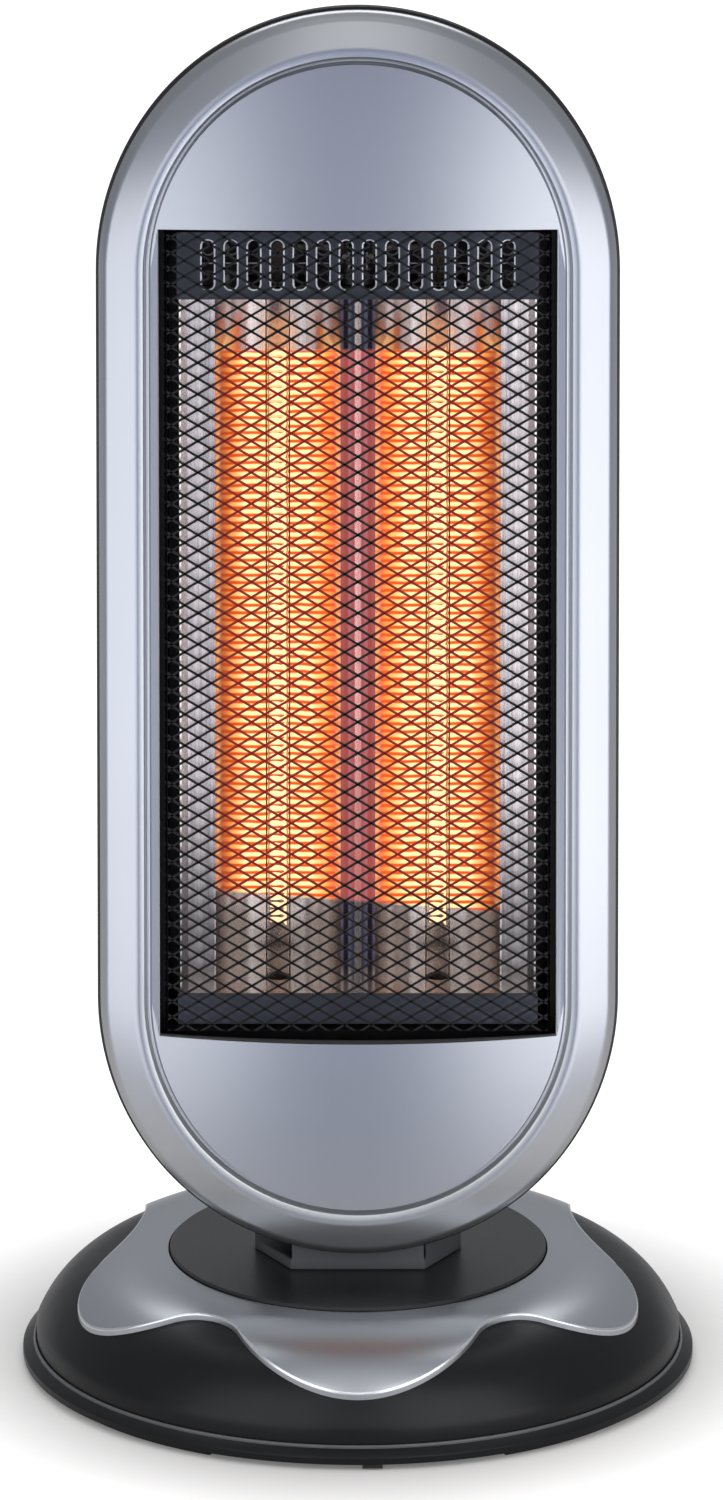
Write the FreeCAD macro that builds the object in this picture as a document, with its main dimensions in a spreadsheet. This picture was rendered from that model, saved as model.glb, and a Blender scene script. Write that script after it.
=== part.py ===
import FreeCAD, Part
import math
import os
import re
import Sketcher

# Oscillating carbon heater: two quartz tubes in a tall stadium-shaped head on a round base.
# Millimetres. X points right, Y points away from the viewer, Z points up, floor at Z = 0.
# The front is on the minus Y side. The head swings about the Z axis on the base.

doc = FreeCAD.newDocument("carbon_heater")
sheet = doc.addObject("Spreadsheet::Sheet", "Sizes")

SIZES = [
    # base shell, deck cover and feet
    ("lip_width", 6.0),
    ("foot_height", 3.0),
    ("foot_inset", 2.5),
    ("foot_width", 9.0),
    ("foot_half_angle", 16.5),
    ("foot_angle", 46.5),
    ("lip_edge", 3.5),
    ("lip_bevel", 3.0),
    ("crease_height", 10.0),
    ("crease_depth", 1.0),
    ("deck_radius", 96.0),
    ("deck_height", 48.5),
    ("shoulder_radius", 52.0),
    ("shoulder_sweep", 67.38),
    ("shell_wall", 2.5),
    ("fit_gap", 0.3),
    ("cover_gap", 0.1),
    ("cover_thickness", 2.9),
    ("cover_bevel", 0.9),
    ("tongue_margin", 7.2),
    ("tongue_radius", 57.0),
    ("crest_radius", 30.0),
    ("lobe_radius", 42.6),
    ("lobe_margin", 10.4),
    ("lobe_angle", 24.8),
    ("flank_radius", 150.0),
    ("flank_margin", 56.5),
    ("back_margin", 22.7),
    ("plate_thickness", 2.5),
    ("lug_left", 2.0),
    ("lug_width", 9.0),
    ("lug_inset", 1.0),
    ("lug_depth", 8.0),
    ("lug_drop", 2.0),
    ("boss_margin", 8.0),
    ("base_boss_radius", 4.5),
    ("screw_radius", 1.5),
    ("screw_head_radius", 3.2),
    ("screw_head_height", 2.0),
    ("screw_gap", 0.05),
    ("screw_length", 10.0),
    ("short_screw_length", 6.0),
    # turntable and swing drive
    ("deck_margin", 11.8),
    ("disc_gap", 0.7),
    ("disc_thickness", 3.0),
    ("bearing_margin", 18.2),
    ("bearing_width", 8.0),
    ("bearing_height", 1.5),
    ("hub_radius", 17.9),
    ("hub_gap", 0.1),
    ("hub_bore", 10.0),
    ("washer_radius", 30.0),
    ("washer_thickness", 2.6),
    ("arm_thickness", 3.0),
    ("arm_half_width", 9.0),
    ("arm_end", 78.0),
    ("arm_screw_circle", 14.0),
    ("crank_offset", 48.0),
    ("crank_throw", 24.0),
    ("crank_rim", 4.5),
    ("crank_thickness", 3.0),
    ("crank_below_arm", 3.0),
    ("pin_radius", 2.5),
    ("slot_clearance", 1.2),
    ("shaft_radius", 3.5),
    ("shaft_gap", 0.05),
    ("shaft_depth", 8.0),
    ("motor_radius", 25.0),
    ("motor_height", 20.0),
    ("motor_ear", 32.0),
    ("motor_ear_thickness", 1.5),
    ("motor_ear_radius", 5.0),
    # tip-over switch, cord gland and terminals
    ("tip_side", 72.0),
    ("tip_back", 20.0),
    ("plunger_radius", 4.0),
    ("plunger_gap", 0.3),
    ("plunger_collar", 6.5),
    ("plunger_collar_height", 1.5),
    ("plunger_travel", 4.0),
    ("plunger_stem", 2.0),
    ("tip_rise", 21.0),
    ("tip_length", 26.0),
    ("tip_width", 12.0),
    ("tip_height", 14.0),
    ("cradle_wall", 3.0),
    ("gland_height", 21.0),
    ("gland_radius", 6.0),
    ("gland_bore", 3.6),
    ("gland_collar_length", 3.0),
    ("gland_length", 14.0),
    ("terminal_margin", 44.0),
    ("terminal_length", 34.0),
    ("terminal_width", 17.0),
    ("terminal_height", 15.0),
    ("terminal_pitch", 11.0),
    ("terminal_well_radius", 2.8),
    ("terminal_well_depth", 5.0),
    # head shells
    ("head_width", 231.6),
    ("head_height", 584.0),
    ("end_growth", 6.2),
    ("end_offset", 12.7),
    ("head_gap", 10.0),
    ("parting_front", 40.0),
    ("rim_lip", 1.2),
    ("rim_edge", 2.0),
    ("rim_round_inset", 0.9),
    ("rim_round_middle", 4.5),
    ("rim_round_width", 2.8),
    ("rim_round_rise", 5.6),
    ("rim_width", 16.1),
    ("rim_rise", 9.0),
    ("rim_crest", 0.9),
    ("slope_width", 3.6),
    ("slope_drop", 0.9),
    ("step_width", 3.3),
    ("panel_rise", 6.2),
    ("frame_wall", 2.2),
    ("window_margin", 3.6),
    ("upper_panel", 101.7),
    ("lower_panel", 105.7),
    ("window_sag", 3.3),
    ("band_depth", 3.0),
    ("back_rise", 2.4),
    ("wall_taper", 24.0),
    ("corner_inset", 8.0),
    ("corner_depth", 9.6),
    ("back_inset", 6.0),
    ("cover_depth", 64.0),
    ("cover_wall", 2.2),
    ("post_radius", 4.0),
    ("post_margin", 49.8),
    ("post_lift", 40.8),
    ("crown_margin", 38.0),
    ("post_joint", 14.0),
    ("boss_radius", 5.5),
    ("boss_floor", 3.0),
    ("louvre_length", 104.0),
    ("louvre_height", 4.0),
    ("louvre_pitch", 11.0),
    ("louvre_upper", 120.0),
    ("louvre_lower", 120.0),
    # mesh guard
    ("guard_side_gap", 3.6),
    ("guard_top_gap", 1.8),
    ("guard_bottom_gap", 1.0),
    ("guard_front", 0.5),
    ("guard_depth", 14.0),
    ("guard_sheet", 0.8),
    ("guard_flange", 14.0),
    ("guard_margin", 2.0),
    ("guard_strand", 1.8),
    ("guard_post_gap", 8.1),
    ("guard_post_margin", 45.3),
    # reflector, end plates and tubes
    ("sheet", 0.8),
    ("trough_edge", 12.2),
    ("trough_gap", 15.4),
    ("flat_depth", 20.0),
    ("reflector_margin", 8.9),
    ("reflector_flare", 2.8),
    ("reflector_flange", 15.0),
    ("upper_drop", 34.3),
    ("lower_rise", 16.5),
    ("plate_margin", 4.4),
    ("plate_front", 2.0),
    ("plate_clear", 9.0),
    ("plate_tail", 14.0),
    ("upper_flange", 31.0),
    ("lower_flange", 14.2),
    ("slot_margin", 13.7),
    ("slot_width", 5.3),
    ("slot_length", 22.5),
    ("slot_rise", 4.2),
    ("plate_post_margin", 20.0),
    ("plate_post_rise", 7.0),
    ("tube_depth", 26.0),
    ("tube_radius", 5.5),
    ("tube_wall", 1.0),
    ("tube_insert", 9.0),
    ("tube_hole_gap", 0.3),
    ("cap_radius", 7.5),
    ("cap_length", 20.0),
    ("cap_gap", 0.1),
    ("filament_radius", 3.1),
    ("filament_width", 1.6),
    ("filament_thickness", 0.7),
    ("filament_top_gap", 28.5),
    ("filament_bottom_gap", 24.8),
    ("strap_width", 9.0),
    ("strap_sheet", 1.0),
    ("strap_foot", 7.0),
    ("cutout_radius", 8.0),
    ("cutout_height", 7.0),
    ("tab_spread", 4.0),
    ("tab_width", 7.0),
    ("tab_height", 7.0),
    ("lead_radius", 1.3),
    ("lead_bend", 5.0),
    # selector and neck
    ("switch_clear", 5.2),
    ("switch_half", 12.0),
    ("switch_depth", 16.0),
    ("spindle_radius", 3.0),
    ("spindle_gap", 0.1),
    ("knob_radius", 17.0),
    ("knob_depth", 16.0),
    ("knob_skirt", 4.0),
    ("knob_draft", 2.0),
    ("grip_width", 5.0),
    ("grip_rise", 2.5),
    ("knob_gap", 0.5),
    ("neck_setback", 4.0),
    ("neck_inset", 6.0),
    ("neck_side", 48.0),
    ("neck_face", 32.0),
    ("neck_front_corner", 30.0),
    ("neck_back_corner", 16.0),
    ("neck_step", 2.0),
    ("neck_step_height", 6.5),
    ("neck_reach", 37.0),
    ("bracket_half", 40.0),
    ("bracket_clear", 11.8),
    ("bracket_sheet", 2.5),
    ("bracket_room", 8.0),
    ("bracket_post_side", 30.0),
    ("bracket_edge", 12.0),
]

for row, (alias, number) in enumerate(SIZES, start=1):
    sheet.set("A%d" % row, alias)
    sheet.set("B%d" % row, repr(number))
    sheet.setAlias("B%d" % row, alias)
doc.recompute()

ALIASES = {alias for alias, number in SIZES}
EVERYTHING = []

# Sizes that follow from those in the sheet, so that neighbours stay together when one of them changes.
FOLLOWING = {
    "dome_radius": "deck_radius + shoulder_radius * sin(shoulder_sweep * 1deg)",
    "base_radius": "dome_radius + lip_width",
    "tongue_tip": "dome_radius - tongue_margin",
    "lobe_circle": "dome_radius - lobe_margin - lobe_radius",
    "lobe_side": "lobe_circle * cos(lobe_angle * 1deg)",
    "lobe_front": "lobe_circle * sin(lobe_angle * 1deg)",
    "cover_back": "dome_radius - back_margin",
    "flank_back": "cover_back - flank_margin",
    "base_boss_circle": "deck_radius - boss_margin",
    "disc_radius": "deck_radius - deck_margin",
    "bearing_radius": "disc_radius - bearing_margin",
    "terminal_back": "dome_radius - terminal_margin",
    "head_bottom": "deck_height + bearing_height + disc_thickness + head_gap",
    "window_width": "head_width - 2 * (rim_lip + rim_width + slope_width + step_width + window_margin)",
    "window_top": "head_height / 2 - upper_panel",
    "window_bottom": "head_height / 2 - lower_panel",
    "wall_depth": "cover_depth - corner_depth - back_rise",
    "post_side": "head_width / 2 - post_margin",
    "post_rise": "(head_height - head_width) / 2 + post_lift",
    "post_top": "head_height / 2 - crown_margin",
    "guard_width": "window_width - 2 * guard_side_gap",
    "guard_top": "window_top - guard_top_gap",
    "guard_bottom": "window_bottom - guard_bottom_gap",
    "guard_post_side": "guard_width / 2 + guard_post_gap",
    "guard_post_rise": "guard_bottom - guard_post_margin",
    "reflector_half": "guard_width / 2 - reflector_margin",
    "trough_radius": "(reflector_half - trough_edge - trough_gap / 2) / 2",
    "tube_side": "trough_gap / 2 + trough_radius",
    "upper_level": "window_top - upper_drop",
    "lower_level": "window_bottom - lower_rise",
    "plate_half": "guard_width / 2 - plate_margin",
    "plate_back": "cover_depth - cover_wall - plate_clear - sheet",
    "plate_post_side": "plate_half - plate_post_margin",
    "filament_top": "upper_level - filament_top_gap",
    "filament_bottom": "lower_level - filament_bottom_gap",
    "selector_drop": "lower_level + plate_tail + switch_clear + switch_half",
    "neck_front": "parting_front - neck_setback",
    "neck_back": "cover_depth - parting_front - neck_inset",
    "neck_top": "head_bottom + neck_reach",
    "bracket_depth": "cover_depth - cover_wall - bracket_clear",
    "bracket_rise": "head_height / 2 - neck_reach - selector_drop - switch_half - bracket_room",
    "bracket_post_rise": "bracket_rise - bracket_edge",
}


def bound(text):
    """An expression in which each size's name points at its cell, and following sizes are written out."""
    def cell(match):
        word = match.group(0)
        if word in FOLLOWING:
            return "(" + bound(FOLLOWING[word]) + ")"
        return "Sizes." + word if word in ALIASES else word
    return re.sub(r"[a-z_]+", cell, str(text))


def number_of(text):
    """The present value of an expression."""
    return float(sheet.evalExpression(bound(text)))


def new_body(label, x="0", y="0", z="0"):
    """A body whose own origin stands at the given place."""
    body = doc.addObject("PartDesign::Body", label)
    body.Label = label
    for axis, text in zip("xyz", (x, y, z)):
        body.setExpression("Placement.Base." + axis, bound(text))
    EVERYTHING.append(body)
    return body


def new_sketch(body, name, role, lift="0"):
    """A sketch on one of the body's own planes, lifted along that plane's normal."""
    plane = next(item for item in body.Origin.OriginFeatures if item.Role == role)
    sketch = body.newObject("Sketcher::SketchObject", body.Name + "_" + name)
    sketch.AttachmentSupport = [(plane, "")]
    sketch.MapMode = "FlatFace"
    sketch.setExpression("AttachmentOffset.Base.z", bound(lift))
    return sketch


def hold(sketch, kind, geometry, point, text):
    """A coordinate of a point, tied to an expression."""
    place = sketch.addConstraint(Sketcher.Constraint(kind, geometry, point, number_of(text)))
    sketch.setExpression("Constraints[%d]" % place, bound(text))


def hold_radius(sketch, geometry, text):
    """A radius, tied to an expression."""
    place = sketch.addConstraint(Sketcher.Constraint("Radius", geometry, number_of(text)))
    sketch.setExpression("Constraints[%d]" % place, bound(text))


def arc_between(centre, start, end):
    """The arc that runs counter-clockwise from start to end."""
    first = math.atan2(start.y - centre.y, start.x - centre.x)
    last = math.atan2(end.y - centre.y, end.x - centre.x)
    if last <= first:
        last += 2 * math.pi
    circle = Part.Circle(centre, FreeCAD.Vector(0, 0, 1), (start - centre).Length)
    return Part.ArcOfCircle(circle, first, last)


def draw_outline(sketch, corners):
    """A closed outline. A corner is (x, y), and a third item starts an arc there:
    (centre x, centre y, "ccw" or "cw", the coordinate that its far end keeps)."""
    first = sketch.GeometryCount
    count = len(corners)
    spots = [FreeCAD.Vector(number_of(c[0]), number_of(c[1]), 0) for c in corners]
    ends = []
    for i, corner in enumerate(corners):
        start = spots[i]
        end = spots[(i + 1) % count]
        if len(corner) == 2:
            sketch.addGeometry(Part.LineSegment(start, end))
            ends.append((1, 2))
            continue
        centre = FreeCAD.Vector(number_of(corner[2][0]), number_of(corner[2][1]), 0)
        forward = corner[2][2] == "ccw"
        sketch.addGeometry(arc_between(centre, start, end) if forward else arc_between(centre, end, start))
        ends.append((1, 2) if forward else (2, 1))
    for i in range(count):
        after = (i + 1) % count
        joint = Sketcher.Constraint("Coincident", first + i, ends[i][1], first + after, ends[after][0])
        sketch.addConstraint(joint)
    for i, corner in enumerate(corners):
        before = corners[i - 1]
        kept = before[2][3] if len(before) == 3 else "xy"
        if "x" in kept:
            hold(sketch, "DistanceX", first + i, ends[i][0], corner[0])
        if "y" in kept:
            hold(sketch, "DistanceY", first + i, ends[i][0], corner[1])
        if len(corner) == 3:
            hold(sketch, "DistanceX", first + i, 3, corner[2][0])
            hold(sketch, "DistanceY", first + i, 3, corner[2][1])


def draw_circle(sketch, x, y, radius):
    """A full circle about a place."""
    centre = FreeCAD.Vector(number_of(x), number_of(y), 0)
    circle = Part.Circle(centre, FreeCAD.Vector(0, 0, 1), number_of(radius))
    place = sketch.addGeometry(circle)
    hold(sketch, "DistanceX", place, 3, x)
    hold(sketch, "DistanceY", place, 3, y)
    hold_radius(sketch, place, radius)


def draw_rectangle(sketch, left, bottom, right, top):
    """A rectangle between two corners."""
    draw_outline(sketch, [(left, bottom), (right, bottom), (right, top), (left, top)])


def draw_stadium(sketch, half_width, half_height, x="0", y="0"):
    """An upright outline with straight sides and round ends, begun halfway up its right side."""
    reach = f"(({half_height}) - ({half_width}))"
    right = f"({x}) + ({half_width})"
    left = f"({x}) - ({half_width})"
    upper = f"({y}) + {reach}"
    lower = f"({y}) - {reach}"
    draw_outline(sketch, [
        (right, y),
        (right, upper, (x, upper, "ccw", "y")),
        (left, upper),
        (left, lower, (x, lower, "ccw", "y")),
        (right, lower),
    ])


def draw_head(sketch, inset):
    """The head's outline, drawn in from its edge and begun halfway up its right side: straight sides,
    and at each end one arc between two wider ones."""
    side = f"(head_width / 2 - ({inset}))"
    lean = "(end_offset - end_growth)"
    lift = f"((end_offset^2 - {lean}^2) / (2 * {lean}))"
    level = "((head_height - head_width) / 2 - end_growth)"
    crown = f"({level} + {lift})"
    share = f"(({side} + end_offset) / ({lift} + {lean}))"
    joint = f"(end_offset * {share} - end_offset)"
    rise = f"({level} + {lift} * {share})"
    draw_outline(sketch, [
        (side, "0"),
        (side, level, ("-end_offset", level, "ccw", "y")),
        (joint, rise, ("0", crown, "ccw", "y")),
        (f"-{joint}", rise, ("end_offset", level, "ccw", "y")),
        (f"-{side}", level),
        (f"-{side}", f"-{level}", ("end_offset", f"-{level}", "ccw", "y")),
        (f"-{joint}", f"-{rise}", ("0", f"-{crown}", "ccw", "y")),
        (joint, f"-{rise}", ("-end_offset", f"-{level}", "ccw", "y")),
        (side, f"-{level}"),
    ])


def draw_slot(sketch, x, y, half_length, radius):
    """A level slot with round ends."""
    right = f"({x}) + ({half_length}) - ({radius})"
    left = f"({x}) - ({half_length}) + ({radius})"
    upper = f"({y}) + ({radius})"
    lower = f"({y}) - ({radius})"
    draw_outline(sketch, [
        (left, lower),
        (right, lower, (right, y, "ccw", "x")),
        (right, upper),
        (left, upper, (left, y, "ccw", "x")),
    ])


def pad(body, sketch, length, back=False):
    """Material along the sketch's normal, or against it."""
    feature = body.newObject("PartDesign::Pad", sketch.Name + "_pad")
    feature.Profile = sketch
    feature.setExpression("Length", bound(length))
    feature.Reversed = back
    doc.recompute()
    return feature


def pocket(body, sketch, length, along=False):
    """A cut against the sketch's normal, or along it. It has to take material away."""
    before = body.Shape.Volume
    feature = body.newObject("PartDesign::Pocket", sketch.Name + "_pocket")
    feature.Profile = sketch
    feature.setExpression("Length", bound(length))
    feature.Reversed = along
    doc.recompute()
    if body.Shape.Volume >= before:
        raise ValueError(sketch.Name + " cuts nothing")
    return feature


def revolve(body, sketch):
    """A full turn about the sketch's upright axis."""
    feature = body.newObject("PartDesign::Revolution", sketch.Name + "_turn")
    feature.Profile = sketch
    feature.ReferenceAxis = (sketch, ["V_Axis"])
    feature.Angle = 360.0
    doc.recompute()
    return feature


def sweep(body, profile, path):
    """The profile carried along a closed path."""
    feature = body.newObject("PartDesign::AdditivePipe", profile.Name + "_sweep")
    feature.Profile = profile
    doc.recompute()
    edges = ["Edge%d" % (i + 1) for i in range(len(path.Shape.Edges))]
    feature.Spine = (path, edges)
    doc.recompute()
    return feature


def screws(label, place, role, spots, face, length="screw_length", back=False):
    """Screws whose heads stand on the level called face of the given plane."""
    body = new_body(label, *place)
    shanks = new_sketch(body, "shanks", role, face)
    heads = new_sketch(body, "heads", role, face)
    for x, y in spots:
        draw_circle(shanks, x, y, "screw_radius")
        draw_circle(heads, x, y, "screw_head_radius")
    pad(body, shanks, length, not back)
    pad(body, heads, "screw_head_height", back)
    return body


# Levels shared by the base and the turntable
PLATE_TOP = "(foot_height + plate_thickness)"
DECK_UNDER = "(deck_height - shell_wall)"
DISC_UNDER = "(deck_height + bearing_height)"
DISC_TOP = "(deck_height + bearing_height + disc_thickness)"
WASHER_TOP = "(deck_height - shell_wall - hub_gap)"
ARM_TOP = "(deck_height - shell_wall - hub_gap - washer_thickness)"
ARM_UNDER = f"({ARM_TOP} - arm_thickness)"
CRANK_TOP = f"({ARM_UNDER} - crank_below_arm)"
SHOULDER_Z = "(deck_height - shoulder_radius)"
MOTOR_TOP = f"({PLATE_TOP} + motor_height)"
PLUNGER_COLLAR_Z = f"({PLATE_TOP} + plunger_travel + plunger_gap)"


def dome_height(radius):
    """Height of the shoulder arc of the given radius where it passes the dome's side."""
    return f"({SHOULDER_Z} + sqrt(({radius})^2 - (dome_radius - deck_radius)^2))"


def turned(text, angle):
    """The x and y of a radius turned by an angle in degrees."""
    return f"({text}) * cos(({angle}) * 1deg)", f"({text}) * sin(({angle}) * 1deg)"


BOSS_ANGLES = ["54", "126", "198", "270", "342"]
BASE_BOSSES = [turned("base_boss_circle", angle) for angle in BOSS_ANGLES]
EARS = [("-motor_ear", "0"), ("motor_ear", "0")]

# Base shell: a black moulded dome with a lip round its foot, a creased line above the lip,
# a bore for the turntable hub, screw bosses and a hole for the cord gland at the back.
base_shell = new_body("base_shell")
section = new_sketch(base_shell, "section", "XZ_Plane")
inner_side = "(dome_radius - shell_wall)"
inner_reach = "sqrt((shoulder_radius - shell_wall)^2 - (dome_radius - shell_wall - deck_radius)^2)"
inner_end = f"({SHOULDER_Z} + {inner_reach})"
lip_top = "(foot_height + lip_edge)"
draw_outline(section, [
    ("hub_radius + hub_gap", "deck_height"),
    ("deck_radius", "deck_height", ("deck_radius", SHOULDER_Z, "cw", "x")),
    ("dome_radius", dome_height("shoulder_radius")),
    ("dome_radius", "crease_height - crease_depth"),
    ("dome_radius + crease_depth", "crease_height"),
    ("base_radius - lip_bevel", "crease_height - crease_depth / 2"),
    ("base_radius", lip_top),
    ("base_radius", "foot_height"),
    ("base_radius - shell_wall", "foot_height"),
    ("base_radius - shell_wall", f"{PLATE_TOP} + fit_gap"),
    (inner_side, "crease_height - crease_depth - shell_wall"),
    (inner_side, inner_end, ("deck_radius", SHOULDER_Z, "ccw", "x")),
    ("deck_radius", DECK_UNDER),
    ("hub_radius + hub_gap", DECK_UNDER),
])
revolve(base_shell, section)
bosses = new_sketch(base_shell, "bosses", "XY_Plane", PLATE_TOP)
for x, y in BASE_BOSSES:
    draw_circle(bosses, x, y, "base_boss_radius")
pad(base_shell, bosses, f"deck_height - shell_wall / 2 - {PLATE_TOP}")
pilots = new_sketch(base_shell, "pilots", "XY_Plane", PLATE_TOP)
for x, y in BASE_BOSSES:
    draw_circle(pilots, x, y, "screw_radius + screw_gap")
pocket(base_shell, pilots, "screw_length", along=True)
gland_hole = new_sketch(base_shell, "gland_hole", "XZ_Plane", "-deck_radius")
draw_circle(gland_hole, "0", "gland_height", "gland_radius + screw_gap")
pocket(base_shell, gland_hole, "dome_radius - deck_radius + shell_wall")

# Deck cover: the silver moulding over the dome, with a tongue at the front, a lobe at each side
# and a round opening for the turntable. It is a turned skin trimmed to its wavy outline.
deck_cover = new_body("deck_cover")
skin = new_sketch(deck_cover, "skin", "XZ_Plane")
skin_inner = "(shoulder_radius + cover_gap)"
skin_outer = "(shoulder_radius + cover_gap + cover_thickness)"
opening_radius = "(disc_radius + disc_gap)"
draw_outline(skin, [
    (opening_radius, "deck_height + cover_gap"),
    ("deck_radius", "deck_height + cover_gap", ("deck_radius", SHOULDER_Z, "cw", "x")),
    ("dome_radius", dome_height(skin_inner)),
    ("dome_radius", dome_height(skin_outer), ("deck_radius", SHOULDER_Z, "ccw", "x")),
    ("deck_radius", "deck_height + cover_gap + cover_thickness"),
    (f"{opening_radius} + cover_bevel", "deck_height + cover_gap + cover_thickness"),
    (opening_radius, "deck_height + cover_gap + cover_thickness - cover_bevel"),
])
revolve(deck_cover, skin)


def draw_deck_outline(sketch):
    """The deck cover's outline: tongue, crests, lobes, flanks and back as tangent arcs."""
    tongue = FreeCAD.Vector(0, -number_of("tongue_tip - tongue_radius"), 0)
    lobe = FreeCAD.Vector(number_of("lobe_side"), -number_of("lobe_front"), 0)
    back = number_of("cover_back")
    crest_reach = number_of("tongue_radius + crest_radius")
    lobe_reach = number_of("lobe_radius + crest_radius")
    between = lobe - tongue
    along = (crest_reach ** 2 - lobe_reach ** 2 + between.Length ** 2) / (2 * between.Length)
    aside = math.sqrt(crest_reach ** 2 - along ** 2)
    step = between * (1 / between.Length)
    crest = tongue + step * along + FreeCAD.Vector(step.y, -step.x, 0) * aside
    flank_reach = number_of("lobe_radius + flank_radius")
    flank_y = number_of("flank_back")
    flank = FreeCAD.Vector(lobe.x + math.sqrt(flank_reach ** 2 - (flank_y - lobe.y) ** 2), flank_y, 0)
    flank_radius = number_of("flank_radius")
    inward = (back ** 2 - flank_radius ** 2 + flank.Length ** 2) / (2 * flank.Length)
    rise = math.sqrt(back ** 2 - inward ** 2)
    toward = flank * (1 / flank.Length)
    corner = toward * inward + FreeCAD.Vector(-toward.y, toward.x, 0) * rise
    tongue_end = tongue + (crest - tongue) * (number_of("tongue_radius") / crest_reach)
    crest_end = lobe + (crest - lobe) * (number_of("lobe_radius") / lobe_reach)
    lobe_end = lobe + (flank - lobe) * (number_of("lobe_radius") / flank_reach)

    def mirrored(spot):
        return FreeCAD.Vector(-spot.x, spot.y, 0)

    origin = FreeCAD.Vector(0, 0, 0)
    arcs = [
        (tongue, mirrored(tongue_end), tongue_end, "tongue_radius"),
        (crest, crest_end, tongue_end, "crest_radius"),
        (lobe, crest_end, lobe_end, "lobe_radius"),
        (flank, corner, lobe_end, "flank_radius"),
        (origin, corner, mirrored(corner), "cover_back"),
        (mirrored(flank), mirrored(lobe_end), mirrored(corner), "flank_radius"),
        (mirrored(lobe), mirrored(lobe_end), mirrored(crest_end), "lobe_radius"),
        (mirrored(crest), mirrored(tongue_end), mirrored(crest_end), "crest_radius"),
    ]
    first = sketch.GeometryCount
    for centre, start, end, radius in arcs:
        sketch.addGeometry(arc_between(centre, start, end))
    joints = [("Tangent", 0, 2, 1, 2), ("Tangent", 1, 1, 2, 1), ("Tangent", 2, 2, 3, 2),
              ("Coincident", 3, 1, 4, 1), ("Coincident", 4, 2, 5, 2), ("Tangent", 5, 1, 6, 1),
              ("Tangent", 6, 2, 7, 2), ("Tangent", 7, 1, 0, 1)]
    for kind, one, one_end, other, other_end in joints:
        sketch.addConstraint(Sketcher.Constraint(kind, first + one, one_end, first + other, other_end))
    for place, (centre, start, end, radius) in enumerate(arcs):
        hold_radius(sketch, first + place, radius)
    for place, x, y in [(0, "0", "tongue_radius - tongue_tip"), (2, "lobe_side", "-lobe_front"),
                        (6, "-lobe_side", "-lobe_front"), (4, "0", "0")]:
        hold(sketch, "DistanceX", first + place, 3, x)
        hold(sketch, "DistanceY", first + place, 3, y)
    for place in (3, 5):
        hold(sketch, "DistanceY", first + place, 3, "flank_back")


trim = new_sketch(deck_cover, "trim", "XY_Plane")
draw_circle(trim, "0", "0", "base_radius + cover_thickness")
draw_deck_outline(trim)
pocket(deck_cover, trim, "deck_height + shell_wall + cover_thickness", along=True)

# Base plate: the floor of the base, with screw holes, the plunger's hole, a cradle for the
# tip-over switch and a small lug under the front edge.
base_plate = new_body("base_plate")
floor = new_sketch(base_plate, "floor", "XY_Plane", "foot_height")
draw_circle(floor, "0", "0", "base_radius - shell_wall - fit_gap")
for x, y in BASE_BOSSES:
    draw_circle(floor, x, y, "screw_radius + screw_gap")
draw_circle(floor, "-tip_side", "tip_back", "plunger_radius + plunger_gap")
for x, y in EARS:
    draw_circle(floor, x, f"crank_offset + {y}", "screw_radius + screw_gap")
pad(base_plate, floor, "plate_thickness")
cradle = new_sketch(base_plate, "cradle", "XY_Plane", PLATE_TOP)
for side in ("-1", "1"):
    middle = f"(-tip_side + {side} * (tip_length - cradle_wall) / 2)"
    draw_rectangle(cradle, f"{middle} - cradle_wall / 2", "tip_back - tip_width / 2",
                   f"{middle} + cradle_wall / 2", "tip_back + tip_width / 2")
pad(base_plate, cradle, f"tip_rise - {PLATE_TOP}")
lug = new_sketch(base_plate, "lug", "XY_Plane", "foot_height")
draw_rectangle(lug, "lug_left", "lug_inset - base_radius", "lug_left + lug_width",
               "lug_inset + lug_depth - base_radius")
pad(base_plate, lug, "lug_drop", back=True)

# Rubber feet: four pads along the rim of the base plate.
rubber_feet = new_body("rubber_feet")
pads = new_sketch(rubber_feet, "pads", "XY_Plane", "0")
foot_outer = "(base_radius - shell_wall - foot_inset)"
foot_inner = f"({foot_outer} - foot_width)"
for middle in ("foot_angle", "180 - foot_angle", "180 + foot_angle", "360 - foot_angle"):
    early = f"({middle}) - foot_half_angle"
    late = f"({middle}) + foot_half_angle"
    draw_outline(pads, [
        (*turned(foot_outer, early), ("0", "0", "ccw", "y")),
        turned(foot_outer, late),
        (*turned(foot_inner, late), ("0", "0", "cw", "y")),
        turned(foot_inner, early),
    ])
pad(rubber_feet, pads, "foot_height")

# Bearing ring: the slip ring between the base deck and the turntable.
bearing_ring = new_body("bearing_ring")
ring = new_sketch(bearing_ring, "ring", "XY_Plane", "deck_height")
draw_circle(ring, "0", "0", "bearing_radius + bearing_width / 2")
draw_circle(ring, "0", "0", "bearing_radius - bearing_width / 2")
pad(bearing_ring, ring, "bearing_height")

# Turntable: the round black disc with its hub through the base deck.
ARM_SCREWS = [turned("arm_screw_circle", angle) for angle in ("45", "135", "225", "315")]
turntable = new_body("turntable")
section = new_sketch(turntable, "section", "XZ_Plane")
draw_outline(section, [
    ("hub_bore", ARM_TOP),
    ("hub_radius", ARM_TOP),
    ("hub_radius", DISC_UNDER),
    ("disc_radius", DISC_UNDER),
    ("disc_radius", f"{DISC_TOP} - cover_bevel"),
    ("disc_radius - cover_bevel", DISC_TOP),
    ("hub_bore", DISC_TOP),
])
revolve(turntable, section)
pilots = new_sketch(turntable, "pilots", "XY_Plane", ARM_TOP)
for x, y in ARM_SCREWS:
    draw_circle(pilots, x, y, "screw_radius + screw_gap")
pocket(turntable, pilots, "screw_length - arm_thickness + fit_gap", along=True)

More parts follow.
